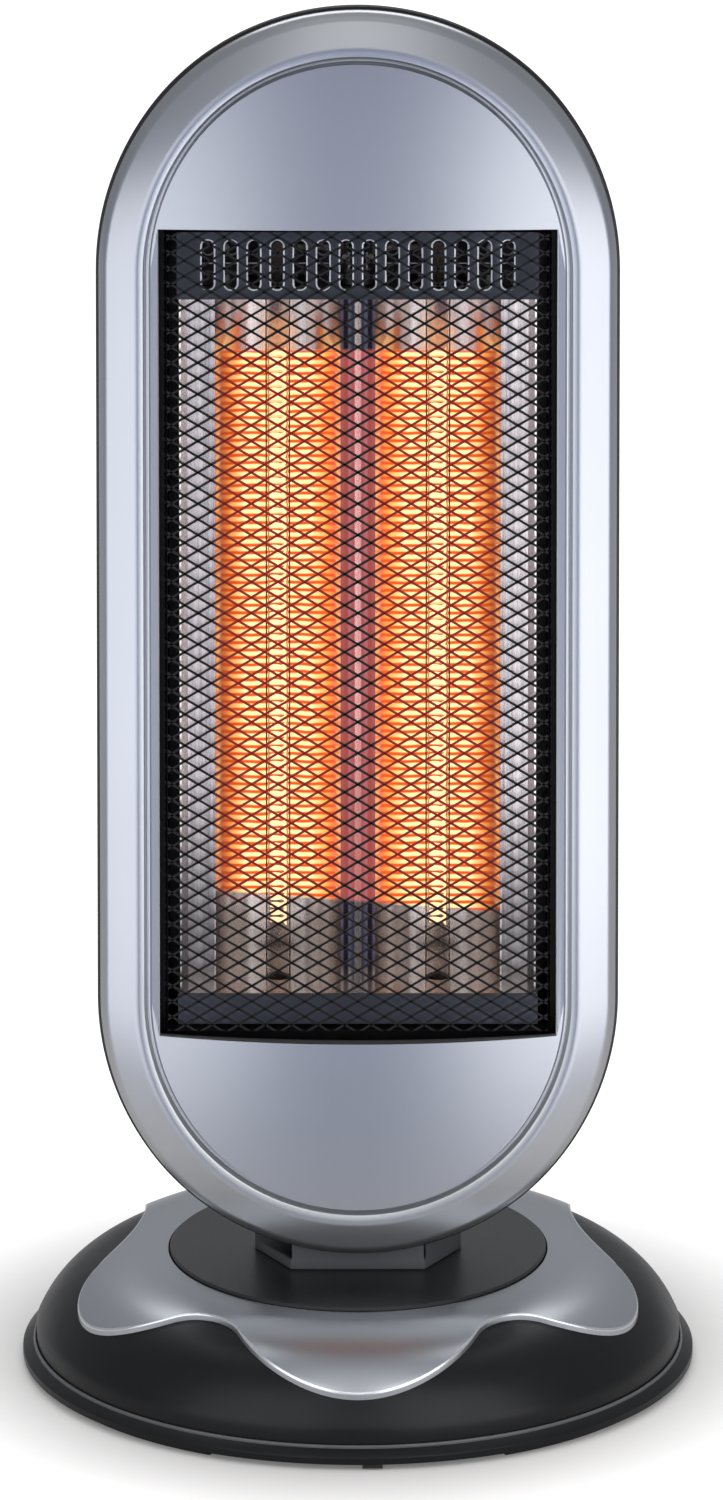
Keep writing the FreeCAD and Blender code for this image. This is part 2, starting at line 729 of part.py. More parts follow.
# Thrust washer: holds the turntable down from below the deck.
thrust_washer = new_body("thrust_washer")
ring = new_sketch(thrust_washer, "ring", "XY_Plane", ARM_TOP)
draw_circle(ring, "0", "0", "washer_radius")
draw_circle(ring, "0", "0", "hub_radius + hub_gap")
pad(thrust_washer, ring, "washer_thickness")

# Drive arm: a slotted lever under the hub that the crank pin swings from side to side.
drive_arm = new_body("drive_arm")
plan = new_sketch(drive_arm, "plan", "XY_Plane", ARM_UNDER)
arm_join = "sqrt(washer_radius^2 - arm_half_width^2)"
draw_outline(plan, [
    ("arm_half_width", arm_join),
    ("arm_half_width", "arm_end", ("0", "arm_end", "ccw", "y")),
    ("-arm_half_width", "arm_end"),
    ("-arm_half_width", arm_join, ("0", "0", "ccw", "x")),
])
draw_circle(plan, "0", "0", "hub_bore")
for x, y in ARM_SCREWS:
    draw_circle(plan, x, y, "screw_radius + screw_gap")
pad(drive_arm, plan, "arm_thickness")
slot = new_sketch(drive_arm, "slot", "XY_Plane", ARM_UNDER)
slot_half_width = "(pin_radius + slot_clearance)"
slot_start = "(crank_offset - crank_throw)"
slot_end = "(crank_offset + crank_throw + slot_clearance)"
draw_outline(slot, [
    (slot_half_width, slot_start),
    (slot_half_width, slot_end, ("0", slot_end, "ccw", "y")),
    (f"-{slot_half_width}", slot_end),
    (f"-{slot_half_width}", slot_start, ("0", slot_start, "ccw", "y")),
])
pocket(drive_arm, slot, "arm_thickness", along=True)
screws("arm_screws", ("0", "0", "0"), "XY_Plane", ARM_SCREWS, ARM_UNDER, back=True)

# Crank: a disc with an eccentric pin on the motor's shaft.
crank = new_body("crank", "0", "crank_offset", "0")
wheel = new_sketch(crank, "wheel", "XY_Plane", CRANK_TOP)
draw_circle(wheel, "0", "0", "crank_throw + crank_rim")
pad(crank, wheel, "crank_thickness", back=True)
pin = new_sketch(crank, "pin", "XY_Plane", CRANK_TOP)
draw_circle(pin, "0", "crank_throw", "pin_radius")
pad(crank, pin, "crank_below_arm + arm_thickness - fit_gap")
shaft = new_sketch(crank, "shaft", "XY_Plane", f"{MOTOR_TOP} - shaft_depth")
draw_circle(shaft, "0", "0", "shaft_radius")
pad(crank, shaft, f"{CRANK_TOP} - crank_thickness - {MOTOR_TOP} + shaft_depth")

# Swing motor: a flat synchronous motor with two ears on the base plate.
swing_motor = new_body("swing_motor", "0", "crank_offset", "0")
ears = new_sketch(swing_motor, "ears", "XY_Plane", PLATE_TOP)
draw_slot(ears, "0", "0", "motor_ear + motor_ear_radius", "motor_ear_radius")
for x, y in EARS:
    draw_circle(ears, x, y, "screw_radius + screw_gap")
pad(swing_motor, ears, "motor_ear_thickness")
can = new_sketch(swing_motor, "can", "XY_Plane", PLATE_TOP)
draw_circle(can, "0", "0", "motor_radius")
pad(swing_motor, can, "motor_height")
bore = new_sketch(swing_motor, "bore", "XY_Plane", MOTOR_TOP)
draw_circle(bore, "0", "0", "shaft_radius + shaft_gap")
pocket(swing_motor, bore, "shaft_depth + shaft_gap")

# Tip-over switch on its cradle, and the sprung plunger that the floor pushes in.
tip_switch = new_body("tip_switch", "-tip_side", "tip_back", "0")
case = new_sketch(tip_switch, "case", "XY_Plane", "tip_rise")
draw_rectangle(case, "-tip_length / 2", "-tip_width / 2", "tip_length / 2", "tip_width / 2")
pad(tip_switch, case, "tip_height")
well = new_sketch(tip_switch, "well", "XY_Plane", "tip_rise")
draw_circle(well, "0", "0", "plunger_stem + plunger_gap")
pocket(tip_switch, well, "tip_height / 2", along=True)

tip_plunger = new_body("tip_plunger", "-tip_side", "tip_back", "0")
section = new_sketch(tip_plunger, "section", "XZ_Plane")
draw_outline(section, [
    ("0", "0"),
    ("plunger_radius", "0"),
    ("plunger_radius", PLUNGER_COLLAR_Z),
    ("plunger_collar", PLUNGER_COLLAR_Z),
    ("plunger_collar", f"{PLUNGER_COLLAR_Z} + plunger_collar_height"),
    ("plunger_stem", f"{PLUNGER_COLLAR_Z} + plunger_collar_height"),
    ("plunger_stem", f"tip_rise + tip_height / 2 - plunger_gap"),
    ("0", f"tip_rise + tip_height / 2 - plunger_gap"),
])
revolve(tip_plunger, section)

# Cord gland in the back of the base, and the terminal block behind it.
cord_gland = new_body("cord_gland", "0", "0", "gland_height")
section = new_sketch(cord_gland, "section", "XY_Plane")
gland_seat = f"(deck_radius + sqrt(shoulder_radius^2 - (gland_height + gland_radius - {SHOULDER_Z})^2))"
gland_in = f"({gland_seat} - gland_length + gland_collar_length)"
draw_outline(section, [
    ("gland_bore", gland_in),
    ("gland_radius", gland_in),
    ("gland_radius", f"{gland_seat} + gland_collar_length"),
    ("gland_radius - cover_bevel", f"{gland_seat} + gland_collar_length + cover_bevel"),
    ("gland_bore", f"{gland_seat} + gland_collar_length + cover_bevel"),
])
revolve(cord_gland, section)

terminal_block = new_body("terminal_block", "0", "terminal_back", "0")
case = new_sketch(terminal_block, "case", "XY_Plane", PLATE_TOP)
draw_rectangle(case, "-terminal_length / 2", "-terminal_width / 2",
               "terminal_length / 2", "terminal_width / 2")
pad(terminal_block, case, "terminal_height")
wells = new_sketch(terminal_block, "wells", "XY_Plane", f"{PLATE_TOP} + terminal_height")
for place in ("-1", "0", "1"):
    draw_circle(wells, f"{place} * terminal_pitch", "0", "terminal_well_radius")
pocket(terminal_block, wells, "terminal_well_depth")

screws("base_screws", ("0", "0", "0"), "XY_Plane", BASE_BOSSES, "foot_height", back=True)
screws("motor_screws", ("0", "crank_offset", "0"), "XY_Plane", EARS, f"{PLATE_TOP} + motor_ear_thickness",
       "motor_ear_thickness + plate_thickness")


# The head's own frame: X right, Y back from the parting plane of its two shells, Z up from
# the middle of the head.
HEAD = ("0", "-parting_front", "head_bottom + head_height / 2")
HALF_WIDTH = "(head_width / 2)"
FRAME_HALF_WIDTH = "(head_width / 2 - rim_lip)"
PANEL_INSET = "(rim_width + slope_width + step_width)"
PANEL_BACK = "(panel_rise - frame_wall)"
COVER_BACK_INNER = "(cover_depth - cover_wall)"
GUARD_FRONT_Y = f"(guard_front - {PANEL_BACK})"
GUARD_FLANGE_Y = f"({GUARD_FRONT_Y} + guard_depth)"
GUARD_POSTS = [(f"{side} * guard_post_side", f"{row} * guard_post_rise")
               for side in ("-1", "1") for row in ("-1", "0", "1")]
COVER_POSTS = [(f"{side} * post_side", f"{row} * post_rise") for side in ("-1", "1") for row in ("-1", "1")]
COVER_POSTS.append(("0", "post_top"))
PLATE_POSTS = [(f"{side} * plate_post_side", level) for side in ("-1", "1")
               for level in ("upper_level + plate_post_rise", "-lower_level - plate_post_rise")]
NECK_TOP_LOCAL = "(neck_top - head_bottom - head_height / 2)"
BRACKET_POSTS = [(f"{side} * bracket_post_side", f"{NECK_TOP_LOCAL} + bracket_post_rise")
                 for side in ("-1", "1")]


def inward(offset):
    """A place in the frame's section, measured inward from the frame's edge."""
    return f"{FRAME_HALF_WIDTH} - ({offset})"


# Front frame: the silver moulding. Its rim, slope, step and panel edge are one section swept
# round the head, and the panel with its window closes the middle.
front_frame = new_body("front_frame", *HEAD)
path = new_sketch(front_frame, "path", "XZ_Plane")
draw_head(path, "rim_lip")
section = new_sketch(front_frame, "section", "XY_Plane")
draw_outline(section, [
    (inward("0"), "0"),
    (inward("0"), "-rim_edge"),
    (inward("rim_round_inset"), "-rim_round_middle"),
    (inward("rim_round_width"), "-rim_round_rise"),
    (inward("rim_width - rim_crest"), "-rim_rise"),
    (inward("rim_width + rim_crest"), "-rim_rise"),
    (inward("rim_width + slope_width"), "slope_drop - rim_rise"),
    (inward(PANEL_INSET), "-panel_rise"),
    (inward(f"{PANEL_INSET} + frame_wall"), "-panel_rise"),
    (inward(f"{PANEL_INSET} + frame_wall"), f"-{PANEL_BACK}"),
    (inward(f"{PANEL_INSET} - frame_wall / 2"), f"-{PANEL_BACK}"),
    (inward("rim_width + slope_width - frame_wall / 2"), "slope_drop - rim_rise + frame_wall"),
    (inward("rim_width"), "frame_wall - rim_rise"),
    (inward("rim_round_width + frame_wall / 2"), "frame_wall - rim_round_rise"),
    (inward("frame_wall"), "-rim_edge / 2"),
    (inward("frame_wall"), "0"),
])
sweep(front_frame, section, path)
panel = new_sketch(front_frame, "panel", "XZ_Plane", PANEL_BACK)
panel_overlap = f"({PANEL_INSET} + frame_wall / 2)"
draw_head(panel, f"rim_lip + {panel_overlap}")
sag_radius = "((window_width^2 / 4 + window_sag^2) / (2 * window_sag))"
draw_outline(panel, [
    ("-window_width / 2", "-window_bottom", ("0", f"{sag_radius} - window_bottom - window_sag", "ccw", "x")),
    ("window_width / 2", "-window_bottom"),
    ("window_width / 2", "window_top"),
    ("-window_width / 2", "window_top"),
])
pad(front_frame, panel, "frame_wall")
posts = new_sketch(front_frame, "guard_posts", "XZ_Plane", f"-{GUARD_FLANGE_Y}")
for x, z in GUARD_POSTS:
    draw_circle(posts, x, z, "post_radius")
pad(front_frame, posts, f"{GUARD_FLANGE_Y} + {PANEL_BACK} + frame_wall / 2")
posts = new_sketch(front_frame, "cover_posts", "XZ_Plane", "-post_joint")
for x, z in COVER_POSTS:
    draw_circle(posts, x, z, "post_radius")
pad(front_frame, posts, f"post_joint + {PANEL_BACK} + frame_wall / 2")
pilots = new_sketch(front_frame, "guard_pilots", "XZ_Plane", f"-{GUARD_FLANGE_Y}")
for x, z in GUARD_POSTS:
    draw_circle(pilots, x, z, "screw_radius + screw_gap")
pocket(front_frame, pilots, "screw_length", along=True)
pilots = new_sketch(front_frame, "cover_pilots", "XZ_Plane", "-post_joint")
for x, z in COVER_POSTS:
    draw_circle(pilots, x, z, "screw_radius + screw_gap")
pocket(front_frame, pilots, "screw_length", along=True)

# Rear cover: the black moulded bowl behind the frame, with louvres, screw bosses, posts for the
# heater box and the bracket, the selector's hole and an opening for the neck.
LOUVRE_COUNT = 6
rear_cover = new_body("rear_cover", *HEAD)
path = new_sketch(rear_cover, "path", "XZ_Plane")
draw_head(path, "0")
section = new_sketch(rear_cover, "section", "XY_Plane")
wall_inset = "((wall_depth - band_depth) * tan(wall_taper * 1deg))"
seat = "(rim_lip + frame_wall)"


def from_edge(offset):
    """A place in the cover's section, measured inward from the cover's edge."""
    return f"{HALF_WIDTH} - ({offset})"


corner_edge = f"({wall_inset} + corner_inset)"
back_edge = f"({corner_edge} + back_inset)"
draw_outline(section, [
    (from_edge("0"), "0"),
    (from_edge(seat), "0"),
    (from_edge(seat), "band_depth"),
    (from_edge(f"{wall_inset} + cover_wall"), "wall_depth - cover_wall / 2"),
    (from_edge(f"{corner_edge} + cover_wall / 2"), "wall_depth + corner_depth - cover_wall"),
    (from_edge(back_edge), COVER_BACK_INNER),
    (from_edge(back_edge), "cover_depth"),
    (from_edge(corner_edge), "wall_depth + corner_depth"),
    (from_edge(wall_inset), "wall_depth"),
    (from_edge("0"), "band_depth"),
])
sweep(rear_cover, section, path)
back = new_sketch(rear_cover, "back", "XZ_Plane", "-cover_depth")
back_reach = f"({back_edge} - cover_wall / 2)"
draw_head(back, back_reach)
for level in ("louvre_upper", "-louvre_lower"):
    for step in range(LOUVRE_COUNT):
        draw_slot(back, "0", f"{level} + {step - (LOUVRE_COUNT - 1) / 2} * louvre_pitch",
                  "louvre_length / 2", "louvre_height / 2")
draw_circle(back, "0", "-selector_drop", "spindle_radius + spindle_gap")
pad(rear_cover, back, "cover_wall")
posts = new_sketch(rear_cover, "bosses", "XZ_Plane", "-post_joint")
for x, z in COVER_POSTS:
    draw_circle(posts, x, z, "boss_radius")
pad(rear_cover, posts, f"{COVER_BACK_INNER} + cover_wall / 2 - post_joint", back=True)
posts = new_sketch(rear_cover, "plate_posts", "XZ_Plane", "-plate_back - sheet")
for x, z in PLATE_POSTS:
    draw_circle(posts, x, z, "post_radius")
pad(rear_cover, posts, f"{COVER_BACK_INNER} + cover_wall / 2 - plate_back - sheet", back=True)
posts = new_sketch(rear_cover, "bracket_posts", "XZ_Plane", "-bracket_depth")
for x, z in BRACKET_POSTS:
    draw_circle(posts, x, z, "post_radius")
pad(rear_cover, posts, f"{COVER_BACK_INNER} + cover_wall / 2 - bracket_depth", back=True)
pilots = new_sketch(rear_cover, "plate_pilots", "XZ_Plane", "-plate_back - sheet")
for x, z in PLATE_POSTS:
    draw_circle(pilots, x, z, "screw_radius + screw_gap")
pocket(rear_cover, pilots, "short_screw_length - sheet + fit_gap")
pilots = new_sketch(rear_cover, "bracket_pilots", "XZ_Plane", "-bracket_depth")
for x, z in BRACKET_POSTS:
    draw_circle(pilots, x, z, "screw_radius + screw_gap")
pocket(rear_cover, pilots, "screw_length - bracket_sheet + fit_gap")
wells = new_sketch(rear_cover, "screw_wells", "XZ_Plane", "-post_joint - boss_floor")
for x, z in COVER_POSTS:
    draw_circle(wells, x, z, "screw_head_radius + fit_gap")
pocket(rear_cover, wells, "cover_depth")
holes = new_sketch(rear_cover, "screw_holes", "XZ_Plane", "-post_joint")
for x, z in COVER_POSTS:
    draw_circle(holes, x, z, "screw_radius + screw_gap")
pocket(rear_cover, holes, "boss_floor")


def draw_neck(sketch, grow, shift="0"):
    """The neck's eight-sided plan, grown outward all round and shifted along Y."""
    front = f"({shift}) - neck_front - ({grow})"
    rear = f"({shift}) + neck_back + ({grow})"
    front_corner = f"({shift}) - neck_front + neck_front_corner"
    rear_corner = f"({shift}) + neck_back - neck_back_corner"
    side = f"(neck_side + ({grow}))"
    face = f"(neck_face + ({grow}))"
    draw_outline(sketch, [
        (f"-{face}", front),
        (face, front),
        (side, front_corner),
        (side, rear_corner),
        (face, rear),
        (f"-{face}", rear),
        (f"-{side}", rear_corner),
        (f"-{side}", front_corner),
    ])


neck_hole = new_sketch(rear_cover, "neck_hole", "XY_Plane", NECK_TOP_LOCAL)
draw_neck(neck_hole, "fit_gap", "parting_front")
pocket(rear_cover, neck_hole, "neck_top")

# Mesh guard: a black expanded-metal tray behind the window. The net is one holed face, coarser
# than the real mesh, with half gaps along its edges.
NET_COLUMNS = 6
NET_ROWS = 22


def net_wires(left, bottom, cell_width, cell_height, strand):
    """Outlines of the net's gaps, as lists of x and z."""
    wide = cell_width / 2
    tall = cell_height / 2
    shrink = 1 - strand / 2 * math.hypot(wide, tall) / (wide * tall)
    wide *= shrink
    tall *= shrink
    cut_x = tall * (1 - strand / 2 / wide)
    cut_z = wide * (1 - strand / 2 / tall)
    gaps = []
    for row in range(2 * NET_ROWS + 1):
        for column in range(2 * NET_COLUMNS + 1):
            if (row + column) % 2:
                continue
            x = left + column * cell_width / 2
            z = bottom + row * cell_height / 2
            at_left = column == 0
            at_right = column == 2 * NET_COLUMNS
            at_bottom = row == 0
            at_top = row == 2 * NET_ROWS
            if (at_left or at_right) and (at_bottom or at_top):
                continue
            if at_left or at_right:
                sign = 1 if at_left else -1
                edge = x + sign * strand / 2
                gaps.append([(edge, z - cut_x), (x + sign * wide, z), (edge, z + cut_x)])
            elif at_bottom or at_top:
                sign = 1 if at_bottom else -1
                edge = z + sign * strand / 2
                gaps.append([(x - cut_z, edge), (x, z + sign * tall), (x + cut_z, edge)])
            else:
                gaps.append([(x - wide, z), (x, z - tall), (x + wide, z), (x, z + tall)])
    return gaps


def closed_wire(corners, y):
    """A polygon in the plane at depth y."""
    spots = [FreeCAD.Vector(x, y, z) for x, z in corners]
    return Part.makePolygon(spots + spots[:1])


def guard_shape():
    """The net, the tray's four walls and the flange that the frame's posts hold."""
    half = number_of("guard_width / 2")
    top = number_of("guard_top")
    bottom = -number_of("guard_bottom")
    front = number_of(GUARD_FRONT_Y)
    flange_y = number_of(GUARD_FLANGE_Y)
    thick = number_of("guard_sheet")
    flange = number_of("guard_flange")
    margin = number_of("guard_margin")
    outer = closed_wire([(-half, bottom), (half, bottom), (half, top), (-half, top)], front)
    cell_width = (2 * half - 2 * margin) / NET_COLUMNS
    cell_height = (top - bottom - 2 * margin) / NET_ROWS
    gaps = net_wires(margin - half, bottom + margin, cell_width, cell_height, number_of("guard_strand"))
    holes = [closed_wire(gap, front) for gap in gaps]
    face = Part.makeFace([outer] + holes, "Part::FaceMakerBullseye")
    net = face.extrude(FreeCAD.Vector(0, thick, 0))
    depth = flange_y - front - thick
    walls = Part.makeBox(2 * half, depth, top - bottom, FreeCAD.Vector(-half, front + thick, bottom))
    inside = Part.makeBox(2 * half - 2 * thick, depth + 2 * thick, top - bottom - 2 * thick,
                          FreeCAD.Vector(thick - half, front + thick, bottom + thick))
    rim = Part.makeBox(2 * half + 2 * flange, thick, top - bottom + 2 * flange,
                       FreeCAD.Vector(-half - flange, flange_y, bottom - flange))
    tray = walls.fuse(rim).cut(inside)
    for x, z in GUARD_POSTS:
        spot = FreeCAD.Vector(number_of(x), flange_y, number_of(z))
        radius = number_of("screw_radius + screw_gap")
        tray = tray.cut(Part.makeCylinder(radius, thick, spot, FreeCAD.Vector(0, 1, 0)))
    return net.fuse(tray).removeSplitter().Solids[0]


def new_shape(label, shape, x="0", y="0", z="0"):
    """A piece whose shape is worked out in code from the sizes."""
    piece = doc.addObject("Part::Feature", label)
    piece.Label = label
    piece.Shape = shape
    piece.Placement = FreeCAD.Placement(FreeCAD.Vector(*map(number_of, (x, y, z))), FreeCAD.Rotation())
    EVERYTHING.append(piece)
    return piece


new_shape("mesh_guard", guard_shape(), *HEAD)

# Reflector: one bright sheet with a half-round trough behind each tube and a flange at each side.
reflector = new_body("reflector", *HEAD)
section = new_sketch(reflector, "section", "XY_Plane", "-lower_level")
trough_back = "sqrt((trough_radius + sheet)^2 - sheet^2)"
flange_tip = "flat_depth - reflector_flange"
draw_outline(section, [
    ("-reflector_half - reflector_flare", flange_tip),
    ("-reflector_half", "flat_depth"),
    ("-tube_side - trough_radius", "flat_depth", ("-tube_side", "flat_depth", "cw", "y")),
    ("-tube_side + trough_radius", "flat_depth"),
    ("tube_side - trough_radius", "flat_depth", ("tube_side", "flat_depth", "cw", "y")),
    ("tube_side + trough_radius", "flat_depth"),
    ("reflector_half", "flat_depth"),
    ("reflector_half + reflector_flare", flange_tip),
    ("reflector_half + reflector_flare + sheet", flange_tip),
    ("reflector_half + sheet / 2", "flat_depth + sheet"),
    (f"tube_side + {trough_back}", "flat_depth + sheet", ("tube_side", "flat_depth", "ccw", "y")),
    (f"tube_side - {trough_back}", "flat_depth + sheet"),
    (f"-tube_side + {trough_back}", "flat_depth + sheet", ("-tube_side", "flat_depth", "ccw", "y")),
    (f"-tube_side - {trough_back}", "flat_depth + sheet"),
    ("-reflector_half - sheet / 2", "flat_depth + sheet"),
    ("-reflector_half - reflector_flare - sheet", flange_tip),
])
pad(reflector, section, "lower_level + upper_level")


def end_plate(label, level, sign, flange):
    """A folded sheet across one end of the reflector: front flange, shelf and tail."""
    body = new_body(label, *HEAD)
    fold = new_sketch(body, "fold", "YZ_Plane", "-plate_half")
    draw_outline(fold, [
        ("plate_front", level),
        ("plate_back + sheet", level),
        ("plate_back + sheet", f"{level} + {sign} * plate_tail"),
        ("plate_back", f"{level} + {sign} * plate_tail"),
        ("plate_back", f"{level} + {sign} * sheet"),
        ("plate_front + sheet", f"{level} + {sign} * sheet"),
        ("plate_front + sheet", f"{level} + {sign} * ({flange})"),
        ("plate_front", f"{level} + {sign} * ({flange})"),
    ])
    pad(body, fold, "2 * plate_half")
    holes = new_sketch(body, "holes", "XY_Plane", f"{level} - 2 * sheet")
    for side in ("-1", "1"):
        draw_circle(holes, f"{side} * tube_side", "tube_depth", "tube_radius + tube_hole_gap")
    pocket(body, holes, "4 * sheet", along=True)
    screw_holes = new_sketch(body, "screw_holes", "XZ_Plane", "-plate_back")
    for x, z in PLATE_POSTS:
        draw_circle(screw_holes, x, z, "screw_radius + screw_gap")
    pocket(body, screw_holes, "sheet")
    return body


SLOT_COUNT = 14
upper_plate = end_plate("upper_end_plate", "upper_level", "1", "upper_flange")
slots = new_sketch(upper_plate, "slots", "XZ_Plane", "sheet - plate_front")
for step in range(SLOT_COUNT):
    draw_stadium(slots, "slot_width / 2", "slot_length / 2",
                 f"{2 * step / (SLOT_COUNT - 1) - 1} * (plate_half - slot_margin)",
                 "upper_level + slot_rise + slot_length / 2")
pocket(upper_plate, slots, "3 * sheet")
end_plate("lower_end_plate", "-lower_level", "-1", "lower_flange")

# Quartz tubes, with a spiral carbon filament in each.
UPPER_SEAT = "(upper_level + sheet)"
LOWER_SEAT = "(-lower_level - sheet)"
FILAMENT_TURNS = 24
SPOTS_A_TURN = 2


def biarc(start, start_way, end, end_way):
    """Two arcs that leave start and reach end in the given directions."""
    chord = end - start
    both = start_way + end_way
    spread = 2 * (1 - start_way.dot(end_way))
    lean = chord.dot(both)
    reach = (math.sqrt(lean ** 2 + spread * chord.dot(chord)) - lean) / spread
    joint = (start + end + (start_way - end_way) * reach) * 0.5
    return [half_arc(start, start_way, joint), half_arc(end, end_way * -1, joint)]


def half_arc(start, way, end):
    """The arc that leaves start in a direction and reaches end."""
    chord = end - start
    unit = chord * (1 / chord.Length)
    aside = way - unit * way.dot(unit)
    angle = way.getAngle(unit)
    middle = (start + end) * 0.5 + aside * (chord.Length / 2 * math.tan(angle / 2) / aside.Length)
    return Part.Arc(start, middle, end).toShape()


def filament_shape():
    """A flat ribbon wound into a spiral, one unbroken length."""
    radius = number_of("filament_radius")
    bottom = -number_of("filament_bottom")
    pitch = (number_of("filament_top") - bottom) / FILAMENT_TURNS
    climb = pitch / (2 * math.pi * radius)
    spots = []
    ways = []
    for step in range(FILAMENT_TURNS * SPOTS_A_TURN + 1):
        angle = 2 * math.pi * step / SPOTS_A_TURN
        spots.append(FreeCAD.Vector(radius * math.cos(angle), radius * math.sin(angle),
                                    bottom + pitch * step / SPOTS_A_TURN))
        way = FreeCAD.Vector(-math.sin(angle), math.cos(angle), climb)
        ways.append(way * (1 / way.Length))
    edges = []
    for step in range(len(spots) - 1):
        edges += biarc(spots[step], ways[step], spots[step + 1], ways[step + 1])
    width = number_of("filament_width") / 2
    thick = number_of("filament_thickness") / 2
    across = FreeCAD.Vector(1, 0, 0)
    upward = across.cross(ways[0])
    corners = [spots[0] + across * (i * thick) + upward * (j * width)
               for i, j in ((-1, -1), (1, -1), (1, 1), (-1, 1))]
    ribbon = Part.BRepOffsetAPI.MakePipeShell(Part.Wire(edges))
    ribbon.add(Part.makePolygon(corners + corners[:1]))
    ribbon.build()
    ribbon.makeSolid()
    print("filament: least gap between turns %.2f mm" % (pitch - 2 * width))
    return ribbon.shape()


for side, sign in (("left", "-1"), ("right", "1")):
    place = (f"{sign} * tube_side", "tube_depth - parting_front", HEAD[2])
    tube = new_body("quartz_tube_" + side, *place)
    section = new_sketch(tube, "section", "XZ_Plane")
    draw_rectangle(section, "tube_radius - tube_wall", f"{LOWER_SEAT} - tube_insert", "tube_radius",
                   f"{UPPER_SEAT} + tube_insert")
    revolve(tube, section)
    new_shape("carbon_filament_" + side, filament_shape(), *place)


# Ceramic end caps on the tubes, and the steel straps that hold them to the end plates.
def end_caps(label, seat, down):
    """Two ceramic caps standing on one end plate, each bored for its tube's end."""
    body = new_body(label, *HEAD)
    plan = new_sketch(body, "plan", "XY_Plane", seat)
    bore = new_sketch(body, "bore", "XY_Plane", seat)
    for side in ("-1", "1"):
        draw_circle(plan, f"{side} * tube_side", "tube_depth", "cap_radius")
        draw_circle(bore, f"{side} * tube_side", "tube_depth", "tube_radius + cap_gap")
    pad(body, plan, "cap_length", back=down)
    pocket(body, bore, "tube_insert + cap_gap", along=not down)


def cap_straps(label, seat, sign):
    """Two bent straps, each with a foot on the end plate at both sides of its cap."""
    body = new_body(label, *HEAD)
    bend = new_sketch(body, "bend", "XZ_Plane", "strap_width / 2 - tube_depth")
    inner = "(cap_radius + fit_gap)"
    outer = f"({inner} + strap_sheet)"
    height = f"{sign} * (cap_length + cap_gap)"
    for side in ("-1", "1"):
        middle = f"{side} * tube_side"
        draw_outline(bend, [
            (f"{middle} - {outer} - strap_foot", seat),
            (f"{middle} - {inner}", seat),
            (f"{middle} - {inner}", f"{seat} + {height}"),
            (f"{middle} + {inner}", f"{seat} + {height}"),
            (f"{middle} + {inner}", seat),
            (f"{middle} + {outer} + strap_foot", seat),
            (f"{middle} + {outer} + strap_foot", f"{seat} + {sign} * strap_sheet"),
            (f"{middle} + {outer}", f"{seat} + {sign} * strap_sheet"),
            (f"{middle} + {outer}", f"{seat} + {height} + {sign} * strap_sheet"),
            (f"{middle} - {outer}", f"{seat} + {height} + {sign} * strap_sheet"),
            (f"{middle} - {outer}", f"{seat} + {sign} * strap_sheet"),
            (f"{middle} - {outer} - strap_foot", f"{seat} + {sign} * strap_sheet"),
        ])
    pad(body, bend, "strap_width", back=True)


end_caps("upper_end_caps", UPPER_SEAT, down=False)
end_caps("lower_end_caps", LOWER_SEAT, down=True)
cap_straps("upper_cap_straps", UPPER_SEAT, "1")
cap_straps("lower_cap_straps", LOWER_SEAT, "-1")

# Thermal cut-out on the upper end plate, between the two caps.
thermal_cutout = new_body("thermal_cutout", *HEAD)
can = new_sketch(thermal_cutout, "can", "XY_Plane", UPPER_SEAT)
draw_circle(can, "0", "tube_depth", "cutout_radius")
pad(thermal_cutout, can, "cutout_height")
tabs = new_sketch(thermal_cutout, "tabs", "XY_Plane", f"{UPPER_SEAT} + cutout_height")
for side in ("-1", "1"):
    draw_rectangle(tabs, f"{side} * tab_spread - sheet / 2", "tube_depth - tab_width / 2",
                   f"{side} * tab_spread + sheet / 2", "tube_depth + tab_width / 2")
pad(thermal_cutout, tabs, "tab_height")


# Leads: two short wires from the caps to the cut-out, and two from the lower caps to the selector.
LEAD_SIDES = 8


def lead_shape(route):
    """An eight-sided wire along straight runs with rounded bends."""
    bend = number_of("lead_bend")
    edges = []
    here = route[0]
    for before, corner, after in zip(route, route[1:], route[2:]):
        back = before - corner
        ahead = after - corner
        back.normalize()
        ahead.normalize()
        half = back.getAngle(ahead) / 2
        setback = bend / math.tan(half)
        inner = back + ahead
        inner.normalize()
        enter = corner + back * setback
        leave = corner + ahead * setback
        middle = corner + inner * (bend / math.sin(half) - bend)
        edges.append(Part.LineSegment(here, enter).toShape())
        edges.append(Part.Arc(enter, middle, leave).toShape())
        here = leave
    edges.append(Part.LineSegment(here, route[-1]).toShape())
    corner = number_of("lead_radius") / math.cos(math.pi / LEAD_SIDES)
    angles = [math.pi * (2 * step + 1) / LEAD_SIDES for step in range(LEAD_SIDES)]
    ring = [route[0] + FreeCAD.Vector(corner * math.cos(angle), 0, corner * math.sin(angle))
            for angle in angles]
    wire = Part.BRepOffsetAPI.MakePipeShell(Part.Wire(edges))
    wire.add(Part.makePolygon(ring + ring[:1]))
    wire.build()
    wire.makeSolid()
    return wire.shape()


def spot(x, y, z):
    """A place in the head's frame, from three expressions."""
    return FreeCAD.Vector(number_of(x), number_of(y), number_of(z))


